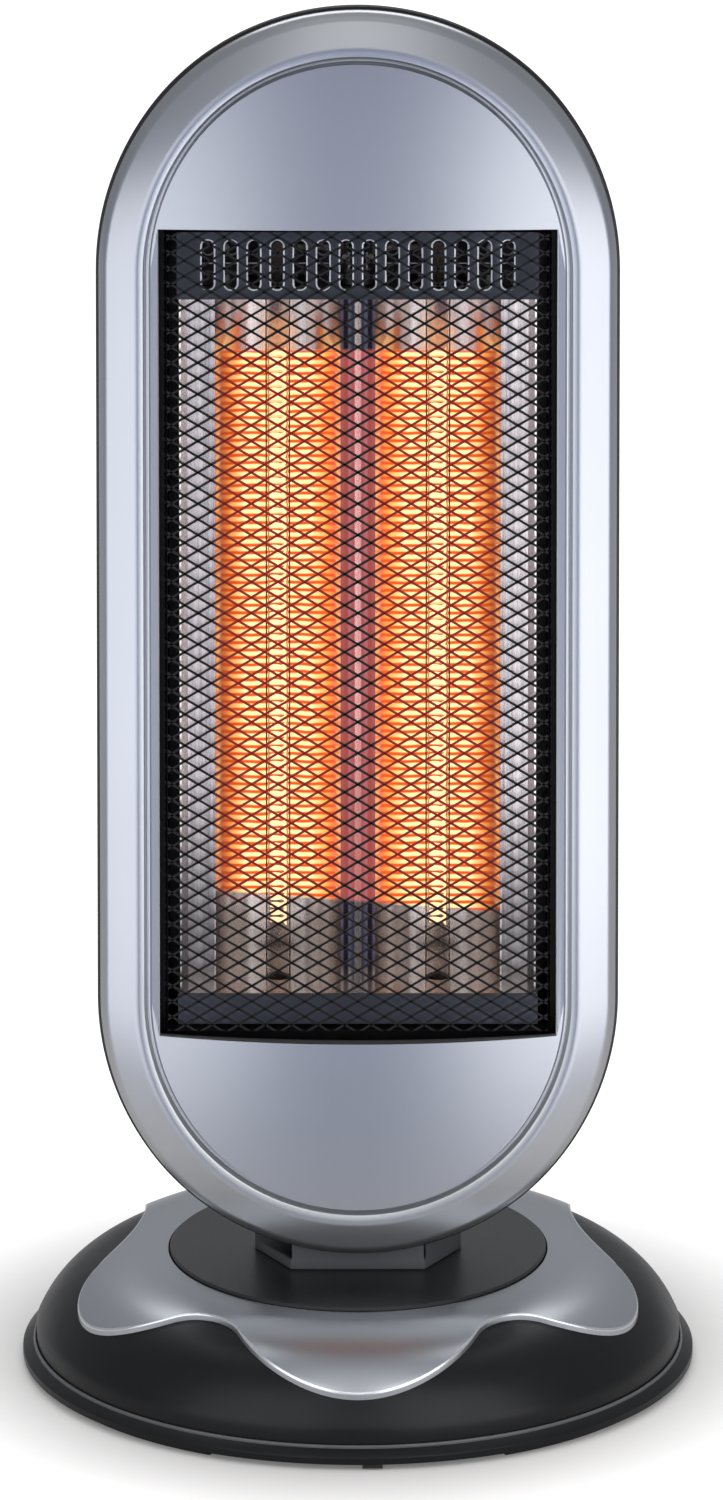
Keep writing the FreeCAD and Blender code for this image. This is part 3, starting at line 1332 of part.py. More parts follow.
CAP_REAR = "(tube_depth + cap_radius)"
UPPER_LEAD_Z = f"({UPPER_SEAT} + cutout_height + tab_height / 2)"
LOWER_LEAD_Z = f"({LOWER_SEAT} - cap_length / 2)"
SWITCH_TOP = "(switch_half - selector_drop)"
upper_leads = []
lower_leads = []
for sign in ("-1", "1"):
    lead_y = f"({CAP_REAR} + lead_bend + 2 * lead_radius)"
    tab_x = f"{sign} * (tab_spread + sheet / 2 + lead_radius)"
    upper_leads.append(lead_shape([
        spot(f"{sign} * tube_side", CAP_REAR, UPPER_LEAD_Z),
        spot(f"{sign} * tube_side", lead_y, UPPER_LEAD_Z),
        spot(tab_x, lead_y, UPPER_LEAD_Z),
        spot(tab_x, "tube_depth", UPPER_LEAD_Z),
    ]))
    lead_y = f"({COVER_BACK_INNER} - switch_depth + 2 * lead_radius)"
    switch_x = f"{sign} * switch_half / 2"
    lower_leads.append(lead_shape([
        spot(f"{sign} * tube_side", CAP_REAR, LOWER_LEAD_Z),
        spot(f"{sign} * tube_side", lead_y, LOWER_LEAD_Z),
        spot(switch_x, lead_y, LOWER_LEAD_Z),
        spot(switch_x, lead_y, SWITCH_TOP),
    ]))
new_shape("upper_leads", Part.makeCompound(upper_leads), *HEAD)
new_shape("lower_leads", Part.makeCompound(lower_leads), *HEAD)

# Selector: a rotary switch inside the rear cover, and the knob on its spindle.
SELECTOR = ("0", "-parting_front", "head_bottom + head_height / 2 - selector_drop")
selector_switch = new_body("selector_switch", *SELECTOR)
case = new_sketch(selector_switch, "case", "XZ_Plane", f"-{COVER_BACK_INNER}")
draw_rectangle(case, "-switch_half", "-switch_half", "switch_half", "switch_half")
pad(selector_switch, case, "switch_depth")
bore = new_sketch(selector_switch, "bore", "XZ_Plane", f"-{COVER_BACK_INNER}")
draw_circle(bore, "0", "0", "spindle_radius + spindle_gap")
pocket(selector_switch, bore, "switch_depth / 2", along=True)

selector_knob = new_body("selector_knob", *SELECTOR)
section = new_sketch(selector_knob, "section", "XY_Plane")
knob_front = "(cover_depth + knob_gap)"
knob_back = "(cover_depth + knob_gap + knob_depth)"
draw_outline(section, [
    ("0", f"{COVER_BACK_INNER} - switch_depth / 2 + spindle_gap"),
    ("spindle_radius", f"{COVER_BACK_INNER} - switch_depth / 2 + spindle_gap"),
    ("spindle_radius", knob_front),
    ("knob_radius", knob_front),
    ("knob_radius", f"{knob_front} + knob_skirt"),
    ("knob_radius - knob_draft", f"{knob_front} + knob_skirt"),
    ("knob_radius - 2 * knob_draft", f"{knob_back} - knob_draft"),
    ("knob_radius - 3 * knob_draft", knob_back),
    ("0", knob_back),
])
revolve(selector_knob, section)
grip = new_sketch(selector_knob, "grip", "XZ_Plane", f"-{knob_back} - grip_rise")
draw_rectangle(grip, "-grip_width / 2", "3 * knob_draft - knob_radius",
               "grip_width / 2", "knob_radius - knob_draft")
pad(selector_knob, grip, "knob_depth + grip_rise - knob_skirt")

# Neck: the black block between the turntable and the head, with a narrower step at its foot and
# a bore for the wiring. Its top stands inside the rear cover.
neck = new_body("neck")
foot = new_sketch(neck, "foot", "XY_Plane", DISC_TOP)
draw_neck(foot, "-neck_step")
draw_circle(foot, "0", "0", "hub_bore")
pad(neck, foot, "neck_step_height")
block = new_sketch(neck, "block", "XY_Plane", f"{DISC_TOP} + neck_step_height")
draw_neck(block, "0")
draw_circle(block, "0", "0", "hub_bore")
pad(neck, block, f"neck_top - {DISC_TOP} - neck_step_height")

# Neck bracket: a steel angle from the neck's top to two posts of the rear cover.
neck_bracket = new_body("neck_bracket", "0", "-parting_front", "neck_top")
fold = new_sketch(neck_bracket, "fold", "YZ_Plane", "-bracket_half")
draw_outline(fold, [
    ("parting_front - neck_front + neck_step", "0"),
    ("bracket_depth", "0"),
    ("bracket_depth", "bracket_rise"),
    ("bracket_depth - bracket_sheet", "bracket_rise"),
    ("bracket_depth - bracket_sheet", "bracket_sheet"),
    ("parting_front - neck_front + neck_step", "bracket_sheet"),
])
pad(neck_bracket, fold, "2 * bracket_half")
NECK_SCREWS = [(f"{side} * bracket_post_side", "parting_front") for side in ("-1", "1")]
holes = new_sketch(neck_bracket, "holes", "XY_Plane")
draw_circle(holes, "0", "parting_front", "hub_bore")
for x, y in NECK_SCREWS:
    draw_circle(holes, x, y, "screw_radius + screw_gap")
pocket(neck_bracket, holes, "bracket_sheet", along=True)
pilots = new_sketch(neck, "pilots", "XY_Plane", "neck_top")
for x, y in NECK_SCREWS:
    draw_circle(pilots, x, f"{y} - parting_front", "screw_radius + screw_gap")
pocket(neck, pilots, "screw_length")

upright = new_sketch(neck_bracket, "upright", "XZ_Plane", "-bracket_depth")
for x, z in BRACKET_POSTS:
    draw_circle(upright, x, f"{z} - {NECK_TOP_LOCAL}", "screw_radius + screw_gap")
pocket(neck_bracket, upright, "bracket_sheet", along=True)
screws("neck_screws", ("0", "-parting_front", "neck_top"), "XY_Plane", NECK_SCREWS, "bracket_sheet")
screws("bracket_screws", HEAD, "XZ_Plane", BRACKET_POSTS, "bracket_sheet - bracket_depth")
screws("plate_screws", HEAD, "XZ_Plane", PLATE_POSTS, "-plate_back", "short_screw_length")
screws("guard_screws", HEAD, "XZ_Plane", GUARD_POSTS, f"-{GUARD_FLANGE_Y} - guard_sheet", back=True)
screws("cover_screws", HEAD, "XZ_Plane", COVER_POSTS, "-post_joint - boss_floor", back=True)


doc.recompute()
os.makedirs("parts", exist_ok=True)
for node in EVERYTHING:
    shape = node.Shape
    if "Invalid" in node.State or "Error" in node.State or shape.isNull() or not shape.isValid():
        raise ValueError(node.Label + " isn't a sound solid")
    shape.exportStep("parts/%s.step" % node.Label)
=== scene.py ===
import math

import bmesh
import bpy
from mathutils import Matrix, Vector


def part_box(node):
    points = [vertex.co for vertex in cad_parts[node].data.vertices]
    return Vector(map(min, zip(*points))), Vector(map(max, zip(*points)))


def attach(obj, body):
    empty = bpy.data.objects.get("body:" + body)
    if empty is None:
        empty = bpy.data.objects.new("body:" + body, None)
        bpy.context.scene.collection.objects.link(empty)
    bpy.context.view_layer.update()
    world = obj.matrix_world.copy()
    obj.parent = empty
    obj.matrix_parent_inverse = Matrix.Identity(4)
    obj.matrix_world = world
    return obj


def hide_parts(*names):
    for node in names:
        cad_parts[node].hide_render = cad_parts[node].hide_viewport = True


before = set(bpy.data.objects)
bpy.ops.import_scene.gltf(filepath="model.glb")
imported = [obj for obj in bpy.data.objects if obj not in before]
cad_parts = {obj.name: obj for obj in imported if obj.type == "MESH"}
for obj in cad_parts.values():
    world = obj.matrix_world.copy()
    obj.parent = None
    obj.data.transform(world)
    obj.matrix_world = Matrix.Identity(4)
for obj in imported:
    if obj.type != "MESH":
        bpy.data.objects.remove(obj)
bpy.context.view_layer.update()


# Camera: a long lens well in front of the heater and above it, so that the uprights stay upright
# and the deck of the base is seen from above. The picture is 1500 pixels high, at 2246 to the metre.
CAMERA_RISE = math.radians(19.0)
CAMERA_DISTANCE, CAMERA_REACH = 14.0, 40.0
CAMERA_AIM = Vector((0.0016, 0.0, 0.2869))
PICTURE_HEIGHT = 1500 / 2246
camera_data = bpy.data.cameras.new("camera")
camera_data.lens = camera_data.sensor_width * CAMERA_DISTANCE / PICTURE_HEIGHT
camera_data.clip_end = CAMERA_REACH
camera = bpy.data.objects.new("camera", camera_data)
camera.location = CAMERA_AIM + CAMERA_DISTANCE * Vector((0.0, -math.cos(CAMERA_RISE), math.sin(CAMERA_RISE)))
camera.rotation_euler = (math.pi / 2 - CAMERA_RISE, 0.0, 0.0)
bpy.context.scene.collection.objects.link(camera)
bpy.context.scene.camera = camera
bpy.context.scene.view_settings.view_transform = "Standard"


# Studio: a white floor that keeps a soft shadow, a grey room that the camera sees as white, a white
# card behind the heater that its deck mirrors, and five softboxes: two low at the sides, which light
# the rim's uprights, a tall one in front, one high in front and a wide one overhead.
def linear(code):
    """The linear colour of an sRGB hex code, with full alpha."""
    parts = [int(code[at:at + 2], 16) / 255 for at in (1, 3, 5)]
    return [part / 12.92 if part <= 0.04045 else ((part + 0.055) / 1.055) ** 2.4 for part in parts] + [1.0]


def add_node(owner, kind, inputs=None, **settings):
    """A new node with its settings, and its inputs as values, outputs or other nodes' first outputs."""
    node = owner.node_tree.nodes.new("ShaderNode" + kind)
    for name, value in settings.items():
        setattr(node, name, value)
    for socket, value in (inputs or {}).items():
        if isinstance(value, bpy.types.Node):
            value = next(output for output in value.outputs if output.enabled)
        if isinstance(value, bpy.types.NodeSocket):
            owner.node_tree.links.new(value, node.inputs[socket])
        else:
            node.inputs[socket].default_value = value
    return node


def new_material(name):
    """A material with an empty node tree."""
    material = bpy.data.materials.new(name)
    material.use_nodes = True
    material.node_tree.nodes.clear()
    return material


FLOOR_SIZE, FLOOR_FRONT = 14.0, 0.30
CARD_SIZE, CARD_BACK, CARD_RISE = 0.12, 1.1, 0.08
ROOM_GREY = 0.48
LIFT_START, LIFT_END = 0.15, 0.25
NEAR_LIFT, FAR_LIFT, MIRRORED_LIFT = 0.12, 0.80, 0.2
# White paper: matt, so the shadow on it is soft, and lifted to white beyond the base's edge. Its lift is
# weak near the base, which paints a ring of shade round the base.
floor_paper = new_material("white_paper")
paths = add_node(floor_paper, "LightPath")
seen = add_node(floor_paper, "Math", {
    0: paths.outputs["Is Glossy Ray"], 1: MIRRORED_LIFT, 2: paths.outputs["Is Camera Ray"]},
    operation="MULTIPLY_ADD")
seen = add_node(floor_paper, "Math", {0: seen, 1: paths.outputs["Is Transmission Ray"]}, operation="MAXIMUM")
sheet = add_node(floor_paper, "BsdfDiffuse", {"Color": linear("#C8C6C4")})
place = add_node(floor_paper, "TexCoord").outputs["Object"]
away = add_node(floor_paper, "VectorMath", {0: place}, operation="LENGTH")
away = add_node(floor_paper, "MapRange", {
    "Value": away, "From Min": LIFT_START, "From Max": LIFT_END, "To Min": NEAR_LIFT, "To Max": FAR_LIFT})
lift = add_node(floor_paper, "Math", {0: seen, 1: away}, operation="MULTIPLY")
glow = add_node(floor_paper, "Emission", {"Strength": lift})
both = add_node(floor_paper, "AddShader", {0: sheet, 1: glow})
add_node(floor_paper, "OutputMaterial", {"Surface": both})
for name, size, turn, place in (
        ("floor", FLOOR_SIZE, Matrix.Identity(4), (0.0, FLOOR_SIZE - FLOOR_FRONT, 0.0)),
        ("card_behind", CARD_SIZE, Matrix.Rotation(math.pi / 2, 4, "X"),
         (0.0, CARD_BACK, CARD_SIZE + CARD_RISE))):
    sheet_shape = bmesh.new()
    bmesh.ops.create_grid(sheet_shape, x_segments=1, y_segments=1, size=size,
                          matrix=Matrix.Translation(place) @ turn)
    sheet_mesh = bpy.data.meshes.new(name)
    sheet_shape.to_mesh(sheet_mesh)
    sheet_shape.free()
    sheet_mesh.materials.append(floor_paper)
    paper_sheet = bpy.data.objects.new(name, sheet_mesh)
    paper_sheet.visible_camera = paper_sheet.visible_shadow = paper_sheet.visible_diffuse = name == "floor"
    bpy.context.scene.collection.objects.link(paper_sheet)

# The room is cool above and bluer below the horizon, which gives the silver panels their blue cast.
world = bpy.data.worlds.new("room")
world.use_nodes = True
world.node_tree.nodes.clear()
paths = add_node(world, "LightPath")
room = add_node(world, "Mix", {"Factor": paths.outputs["Is Camera Ray"], "A": ROOM_GREY, "B": 1.0})
way = add_node(world, "TexCoord").outputs["Generated"]
way = add_node(world, "SeparateXYZ", {"Vector": way})
low = add_node(world, "MapRange", {"Value": way.outputs["Z"], "From Min": 0.0, "From Max": -0.3})
tint = add_node(world, "Mix", {
    "Factor": low, "A": linear("#DFE2E8"), "B": linear("#B4C6FF")}, data_type="RGBA")
tint = add_node(world, "Mix", {
    "Factor": paths.outputs["Is Camera Ray"], "A": tint, "B": linear("#FFFFFF")}, data_type="RGBA")
backdrop = add_node(world, "Background", {"Color": tint, "Strength": room})
add_node(world, "OutputWorld", {"Surface": backdrop})
bpy.context.scene.world = world

for name, place, aim, size, power in (
        ("softbox_left", (-0.2425, -0.32, 0.275), (-0.18, -0.05, 0.29), (0.355, 0.49), 0.88),
        ("softbox_right", (0.2425, -0.32, 0.275), (0.18, -0.05, 0.29), (0.355, 0.49), 1.20),
        ("softbox_front", (0.0, -1.70, 0.95), (0.0, 0.0, 0.25), (0.55, 1.10), 2.2),
        ("softbox_high", (0.0, -0.95, 1.90), (0.0, -0.1, 0.1), (1.20, 1.20), 1.7),
        ("softbox_above", (0.0, 1.20, 2.40), (0.0, 0.3, 0.0), (2.40, 1.80), 32.0)):
    lamp = bpy.data.lights.new(name, "AREA")
    lamp.shape = "RECTANGLE"
    lamp.size, lamp.size_y = size
    lamp.energy = power
    softbox = bpy.data.objects.new(name, lamp)
    softbox.location = place
    softbox.rotation_euler = (Vector(aim) - Vector(place)).to_track_quat("-Z", "Y").to_euler()
    softbox.visible_camera = False
    bpy.context.scene.collection.objects.link(softbox)


# Base shell: one ABS moulding in glossy black, a shallow dome on a thin lip, with the turntable's round
# opening in its middle and a fine ridge above the lip. The base plate closes it from below with screws.
MM = 0.001


def millimetres(node):
    """A CAD node's low and high corners in millimetres."""
    return [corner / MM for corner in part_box(node)]


def add_chain(shape, points, closed=False):
    """Vertices joined one after another by edges."""
    spots = [shape.verts.new(point) for point in points]
    edges = [shape.edges.new(pair) for pair in zip(spots, spots[1:])]
    if closed:
        edges.append(shape.edges.new((spots[-1], spots[0])))
    return spots, edges


def finish_piece(name, shape, material, slot, body, *nodes, sharp=35.0):
    """The drawn shape, in millimetres, as a piece of the scene that rides on a body for its CAD nodes."""
    bmesh.ops.remove_doubles(shape, verts=shape.verts, dist=0.001)
    bmesh.ops.recalc_face_normals(shape, faces=shape.faces)
    bmesh.ops.scale(shape, vec=(MM, MM, MM), verts=shape.verts)
    mesh = bpy.data.meshes.new(name)
    shape.to_mesh(mesh)
    shape.free()
    mesh.shade_smooth()
    mesh.set_sharp_from_angle(angle=math.radians(sharp))
    mesh.materials.append(material)
    piece = bpy.data.objects.new(name, mesh)
    bpy.context.scene.collection.objects.link(piece)
    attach(piece, body)
    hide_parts(*nodes)
    return piece


def turn_about(shape, middle, steps):
    """All that is drawn so far turned a full round about an upright axis."""
    bmesh.ops.spin(shape, geom=shape.verts[:] + shape.edges[:], cent=middle, axis=(0.0, 0.0, 1.0),
                   angle=2 * math.pi, steps=steps, use_merge=True)


RIDGE_RADIUS, RIDGE_REACH = 144.9, 0.5
# Glossy black ABS: deep black with soft wide reflections, a faint orange peel 3.85 mm across, duller
# patches of handling 26 mm across, and a ridge that is glossier and painted paler as a highlight line.
black_gloss = new_material("glossy_black_abs")
place = add_node(black_gloss, "TexCoord").outputs["Object"]
peel = add_node(black_gloss, "TexNoise", {"Vector": place, "Scale": 1 / (3.85 * MM), "Detail": 3.0})
dust = add_node(black_gloss, "TexNoise", {
    "Vector": place, "Scale": 1 / (26.3 * MM), "Detail": 6.0, "Roughness": 0.7})
sheen = add_node(black_gloss, "MapRange", {
    "Value": dust, "From Min": 0.35, "From Max": 0.75, "To Min": 0.32, "To Max": 0.40})
grain = add_node(black_gloss, "Bump", {"Height": peel, "Strength": 0.05, "Distance": 0.4 * MM})
axes = add_node(black_gloss, "VectorMath", {0: place, 1: (1.0, 1.0, 0.0)}, operation="MULTIPLY")
axes = add_node(black_gloss, "VectorMath", {0: axes}, operation="LENGTH")
# The ridge above the lip is glossier, and painted paler as a highlight.
ridge = add_node(black_gloss, "Math", {0: axes, 1: RIDGE_RADIUS * MM, 2: RIDGE_REACH * MM}, operation="COMPARE")
sheen = add_node(black_gloss, "Mix", {"Factor": ridge, "A": sheen, "B": 0.12})
tone = add_node(black_gloss, "Mix", {
    "Factor": ridge, "A": linear("#101113"), "B": linear("#58595B")}, data_type="RGBA")
shader = add_node(black_gloss, "BsdfPrincipled", {
    "Base Color": tone, "Roughness": sheen, "Normal": grain, "Specular IOR Level": 0.22})
add_node(black_gloss, "OutputMaterial", {"Surface": shader})

shell_low, shell_high = millimetres("base_shell")
DECK_RADIUS = 96.0
DOME_RADIUS = 144.0
CREASE_RISE = 10.0
SHOULDER_RADIUS = 52.0
SHOULDER_DROP = shell_high.z - SHOULDER_RADIUS
SHELL_WALL = 2.5
LIP_RISE = 3.5
RIDGE_ROUND = 0.8
opening = millimetres("turntable")[1].x + 0.7


def dome_rise(radius):
    """The height of the dome at a radius."""
    if radius <= DECK_RADIUS:
        return shell_high.z
    across = radius - DECK_RADIUS
    return SHOULDER_DROP + math.sqrt(max(SHOULDER_RADIUS ** 2 - across ** 2, 0.0))


dome = [DECK_RADIUS + (DOME_RADIUS - DECK_RADIUS) * step / 28 for step in range(29)]
section = [(opening, shell_high.z)]
section += [(radius, dome_rise(radius)) for radius in dome]
section += [(DOME_RADIUS + 0.5 + RIDGE_ROUND * math.cos(math.radians(turn)),
             CREASE_RISE - 0.5 + RIDGE_ROUND * math.sin(math.radians(turn))) for turn in range(150, -31, -20)]
section += [(shell_high.x - 0.5, shell_low.z + LIP_RISE),
            (shell_high.x, shell_low.z + LIP_RISE - 0.6), (shell_high.x, shell_low.z),
            (shell_high.x - SHELL_WALL, shell_low.z)]
section += [(radius - SHELL_WALL, dome_rise(radius) - SHELL_WALL) for radius in reversed(dome)]
section += [(opening, shell_high.z - SHELL_WALL)]
shape = bmesh.new()
add_chain(shape, [(across, 0.0, rise) for across, rise in section], closed=True)
turn_about(shape, (0.0, 0.0, 0.0), 192)
finish_piece("base_shell_moulding", shape, black_gloss, "black_gloss", "base", "base_shell")


# Deck cover: a moulded ABS shield in silver lacquer, laid over the dome, drawn out to a tongue in front
# between two lobes, with a rounded edge. A turned sheet has its rings stretched to that outline.

# Silver lacquer: a soft mirror, a little cloudy over 71 mm, with a glossier edge painted paler as a highlight.
# Its flakes of 0.03 mm are too fine to show and are drawn 0.67 mm across.
deck_silver = new_material("silver_lacquer_on_deck")
place = add_node(deck_silver, "TexCoord").outputs["Object"]
flake = add_node(deck_silver, "TexNoise", {"Vector": place, "Scale": 1 / (0.67 * MM), "Detail": 2.0})
cloud = add_node(deck_silver, "TexNoise", {"Vector": place, "Scale": 1 / (71.4 * MM), "Detail": 3.0})
tone = add_node(deck_silver, "Mix", {
    "Factor": cloud, "A": linear("#A4A7AC"), "B": linear("#ABAEB3")}, data_type="RGBA")
bead = add_node(deck_silver, "Attribute", attribute_name="polish_and_highlight")
tone = add_node(deck_silver, "Mix", {
    "Factor": bead.outputs["Fac"], "A": tone, "B": linear("#D2D4D7")}, data_type="RGBA")
sheen = add_node(deck_silver, "MapRange", {"Value": bead.outputs["Fac"], "To Min": 0.30, "To Max": 0.24})
grain = add_node(deck_silver, "Bump", {"Height": flake, "Strength": 0.10, "Distance": 0.2 * MM})
shader = add_node(deck_silver, "BsdfPrincipled", {
    "Base Color": tone, "Metallic": 0.85, "Roughness": sheen, "Normal": grain})
add_node(deck_silver, "OutputMaterial", {"Surface": shader})

DECK_STEP = 3.0
EDGE_ROUND = 1.7
TONGUE_RADIUS, TONGUE_BACK = 57.0, 79.8
CREST_RADIUS = 30.0
LOBE_RADIUS, LOBE_SIDE, LOBE_BACK = 42.6, 82.6, 38.2
FLANK_RADIUS, FLANK_FRONT = 150.0, 64.8
COVER_BACK = 121.3


def tangent_centre(first, first_reach, second, second_reach):
    """The centre, outside the outline, that lies at two distances from two centres."""
    apart = second - first
    along = (first_reach ** 2 - second_reach ** 2 + apart.length_squared) / (2 * apart.length)
    off = math.sqrt(first_reach ** 2 - along ** 2)
    line = apart.normalized()
    return first + line * along + Vector((line.y, -line.x)) * off


tongue = Vector((0.0, -TONGUE_BACK))
lobe = Vector((LOBE_SIDE, -LOBE_BACK))
crest = tangent_centre(tongue, TONGUE_RADIUS + CREST_RADIUS, lobe, LOBE_RADIUS + CREST_RADIUS)
flank_off = math.sqrt((FLANK_RADIUS + LOBE_RADIUS) ** 2 - (FLANK_FRONT + LOBE_BACK) ** 2)
flank = Vector((LOBE_SIDE + flank_off, FLANK_FRONT))


def outline_radius(angle):
    """How far the cover's outline is from the middle, at an angle from straight ahead."""
    ray = Vector((abs(math.sin(angle)), -math.cos(angle)))

    def reach(centre, radius, far):
        along = ray.dot(centre)
        room = radius ** 2 - centre.length_squared + along ** 2
        return along + (1 if far else -1) * math.sqrt(room) if room >= 0 else None

    def bearing(point):
        return math.atan2(point.x, -point.y)

    turn = bearing(ray)
    tongue_end = bearing(tongue.lerp(crest, TONGUE_RADIUS / (TONGUE_RADIUS + CREST_RADIUS)))
    lobe_start = bearing(lobe.lerp(crest, LOBE_RADIUS / (LOBE_RADIUS + CREST_RADIUS)))
    lobe_end = bearing(lobe.lerp(flank, LOBE_RADIUS / (LOBE_RADIUS + FLANK_RADIUS)))
    if turn <= tongue_end:
        return reach(tongue, TONGUE_RADIUS, True)
    if turn <= lobe_start:
        return reach(crest, CREST_RADIUS, False)
    if turn <= lobe_end:
        return reach(lobe, LOBE_RADIUS, True)
    side = reach(flank, FLANK_RADIUS, False)
    return min(side, COVER_BACK) if side else COVER_BACK


def only(kind, items):
    """Those of some corners, edges and faces that are of one kind."""
    return [item for item in items if isinstance(item, kind)]


RINGS = 26
shape = bmesh.new()
polish_and_highlight = shape.faces.layers.float.new("polish_and_highlight")
add_chain(shape, [(opening + ring, 0.0, 0.0) for ring in range(RINGS + 1)])
turn_about(shape, (0.0, 0.0, 0.0), 360)
for vert in shape.verts:
    angle = math.atan2(vert.co.x, -vert.co.y)
    share = (vert.co.xy.length - opening) / RINGS
    radius = opening + share * (outline_radius(angle) - opening)
    vert.co = (radius * math.sin(angle), -radius * math.cos(angle), dome_rise(radius) + DECK_STEP)
borders = [edge for edge in shape.edges if edge.is_boundary]
sides = bmesh.ops.extrude_edge_only(shape, edges=borders)["geom"]
for vert in only(bmesh.types.BMVert, sides):
    vert.co.z -= DECK_STEP - 0.1
outer = [edge for edge in borders if edge.verts[0].co.xy.length > opening + 1.0]
rounded = bmesh.ops.bevel(shape, geom=outer, offset=EDGE_ROUND, offset_type="OFFSET", segments=5, profile=0.5,
                          affect="EDGES", material=-1, clamp_overlap=True)
# The rounded edge's faces are marked for their gloss and their painted highlight.
for face in rounded["faces"]:
    face[polish_and_highlight] = 1.0
finish_piece("deck_cover_moulding", shape, deck_silver, "deck_silver", "base", "deck_cover", sharp=50.0)


# Turntable: the round moulded disc that carries the neck, set into the deck with a thin gap. It keeps
# its CAD shape, and so do the smaller mouldings in the same plastic, inside the base and on the back.
def coat(material, *nodes):
    """A material on CAD nodes."""
    for node in nodes:
        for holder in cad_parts[node].material_slots:
            holder.material = material


# Satin black ABS: a dark grey sheen that spreads wide. Its grain of 0.1 mm is too fine to show and is
# drawn 1.1 mm across.
black_plastic = new_material("satin_black_abs")
place = add_node(black_plastic, "TexCoord").outputs["Object"]
spark = add_node(black_plastic, "TexNoise", {"Vector": place, "Scale": 1 / (1.11 * MM), "Detail": 4.0})
grain = add_node(black_plastic, "Bump", {"Height": spark, "Strength": 0.22, "Distance": 0.3 * MM})
sheen = add_node(black_plastic, "MapRange", {"Value": spark, "To Min": 0.30, "To Max": 0.40})
shader = add_node(black_plastic, "BsdfPrincipled", {
    "Base Color": linear("#161719"), "Roughness": sheen, "Normal": grain})
add_node(black_plastic, "OutputMaterial", {"Surface": shader})
coat(black_plastic, "turntable", "crank", "selector_knob", "tip_plunger", "tip_switch", "selector_switch",
     "drive_arm", "base_plate")


# Front frame: an ABS moulding in silver lacquer with a raised rim all round, a step inside it, and gently
# bowed panels above and below the window. The rim is one section carried round the head's outline.

# Silver lacquer: a broad soft mirror that shades from grey to near white, a little cloudy over 111 mm.
# Its flakes of 0.03 mm are too fine to show and are drawn 0.63 mm across.
silver_paint = new_material("silver_lacquer_on_abs")
place = add_node(silver_paint, "TexCoord").outputs["Object"]
flake = add_node(silver_paint, "TexNoise", {"Vector": place, "Scale": 1 / (0.625 * MM), "Detail": 2.0})
cloud = add_node(silver_paint, "TexNoise", {"Vector": place, "Scale": 1 / (111.1 * MM), "Detail": 3.0})
tone = add_node(silver_paint, "Mix", {
    "Factor": cloud, "A": linear("#A9ABAE"), "B": linear("#B0B2B5")}, data_type="RGBA")
grain = add_node(silver_paint, "Bump", {"Height": flake, "Strength": 0.08, "Distance": 0.2 * MM})
shader = add_node(silver_paint, "BsdfPrincipled", {
    "Base Color": tone, "Metallic": 0.9, "Roughness": 0.31, "Normal": grain})
add_node(silver_paint, "OutputMaterial", {"Surface": shader})

frame_low, frame_high = millimetres("front_frame")
PARTING = millimetres("rear_cover")[0].y
head_middle = (frame_low.z + frame_high.z) / 2
FRAME_WALL = 2.2
PANEL_RISE = 6.2
PANEL_INSET = 23.0
PANEL_BOW = 2.4
SIDE_SLOPE, SIDE_DROP = 4.0, 0.5
WINDOW_HALF = 88.0
WINDOW_TOP, WINDOW_FOOT, WINDOW_SAG = 190.3, -186.3, 3.3
END_GROWTH, END_OFFSET = 6.2, 12.7
PANEL_CUT = 6.3


def draw_out(shape, edges, way):
    """Edges drawn out along a way into faces, and all that this adds."""
    added = bmesh.ops.extrude_edge_only(shape, edges=edges)["geom"]
    bmesh.ops.translate(shape, vec=way, verts=only(bmesh.types.BMVert, added))
    return added


def round_corner(shape, corner, reach, segments=5):
    """A corner of a chain rounded over a length."""
    bmesh.ops.bevel(shape, geom=[corner], offset=reach, offset_type="OFFSET", segments=segments,
                    profile=0.5, affect="VERTICES", material=-1)


def carry_round(shape, chain, reach):
    """A chain at the right-hand side carried up, over the top, down and round the foot of the head."""
    level, slack = reach - END_GROWTH, END_OFFSET - END_GROWTH
    crown = (END_OFFSET ** 2 - slack ** 2) / (2 * slack)
    turn = math.atan2(crown, END_OFFSET)
    arcs = ((-END_OFFSET, level, turn, 18), (0.0, level + crown, math.pi - 2 * turn, 44),
            (END_OFFSET, level, turn, 18))
    for end, lift in ((1, level), (-1, -2 * level), (0, level)):
        moved = draw_out(shape, chain, (0.0, 0.0, lift))
        for side, rise, angle, steps in arcs if end else ():
            moved = bmesh.ops.spin(shape, geom=only((bmesh.types.BMVert, bmesh.types.BMEdge), moved),
                                   cent=(end * side, 0.0, end * rise), axis=(0.0, -1.0, 0.0), angle=angle,
                                   steps=steps)["geom_last"]
        chain = only(bmesh.types.BMEdge, moved)
    bmesh.ops.remove_doubles(shape, verts=shape.verts, dist=0.001)


def fill_plate(shape, depth, openings):
    """A flat plate that closes the swept rim's two open loops, with its openings' walls between them."""
    rims = [edge for edge in shape.edges if edge.is_boundary]
    levels = sorted({round(edge.verts[0].co.y, 3) for edge in rims})
    near = [edge for edge in rims if abs(edge.verts[0].co.y - levels[0]) < 0.01]
    far = [edge for edge in rims if abs(edge.verts[0].co.y - levels[-1]) < 0.01]
    if depth < 0:
        near, far = far, near
    behind = only(bmesh.types.BMEdge, draw_out(shape, openings, (0.0, depth, 0.0)))
    bmesh.ops.triangle_fill(shape, use_beauty=True, edges=near + openings)
    bmesh.ops.triangle_fill(shape, use_beauty=True, edges=far + behind)


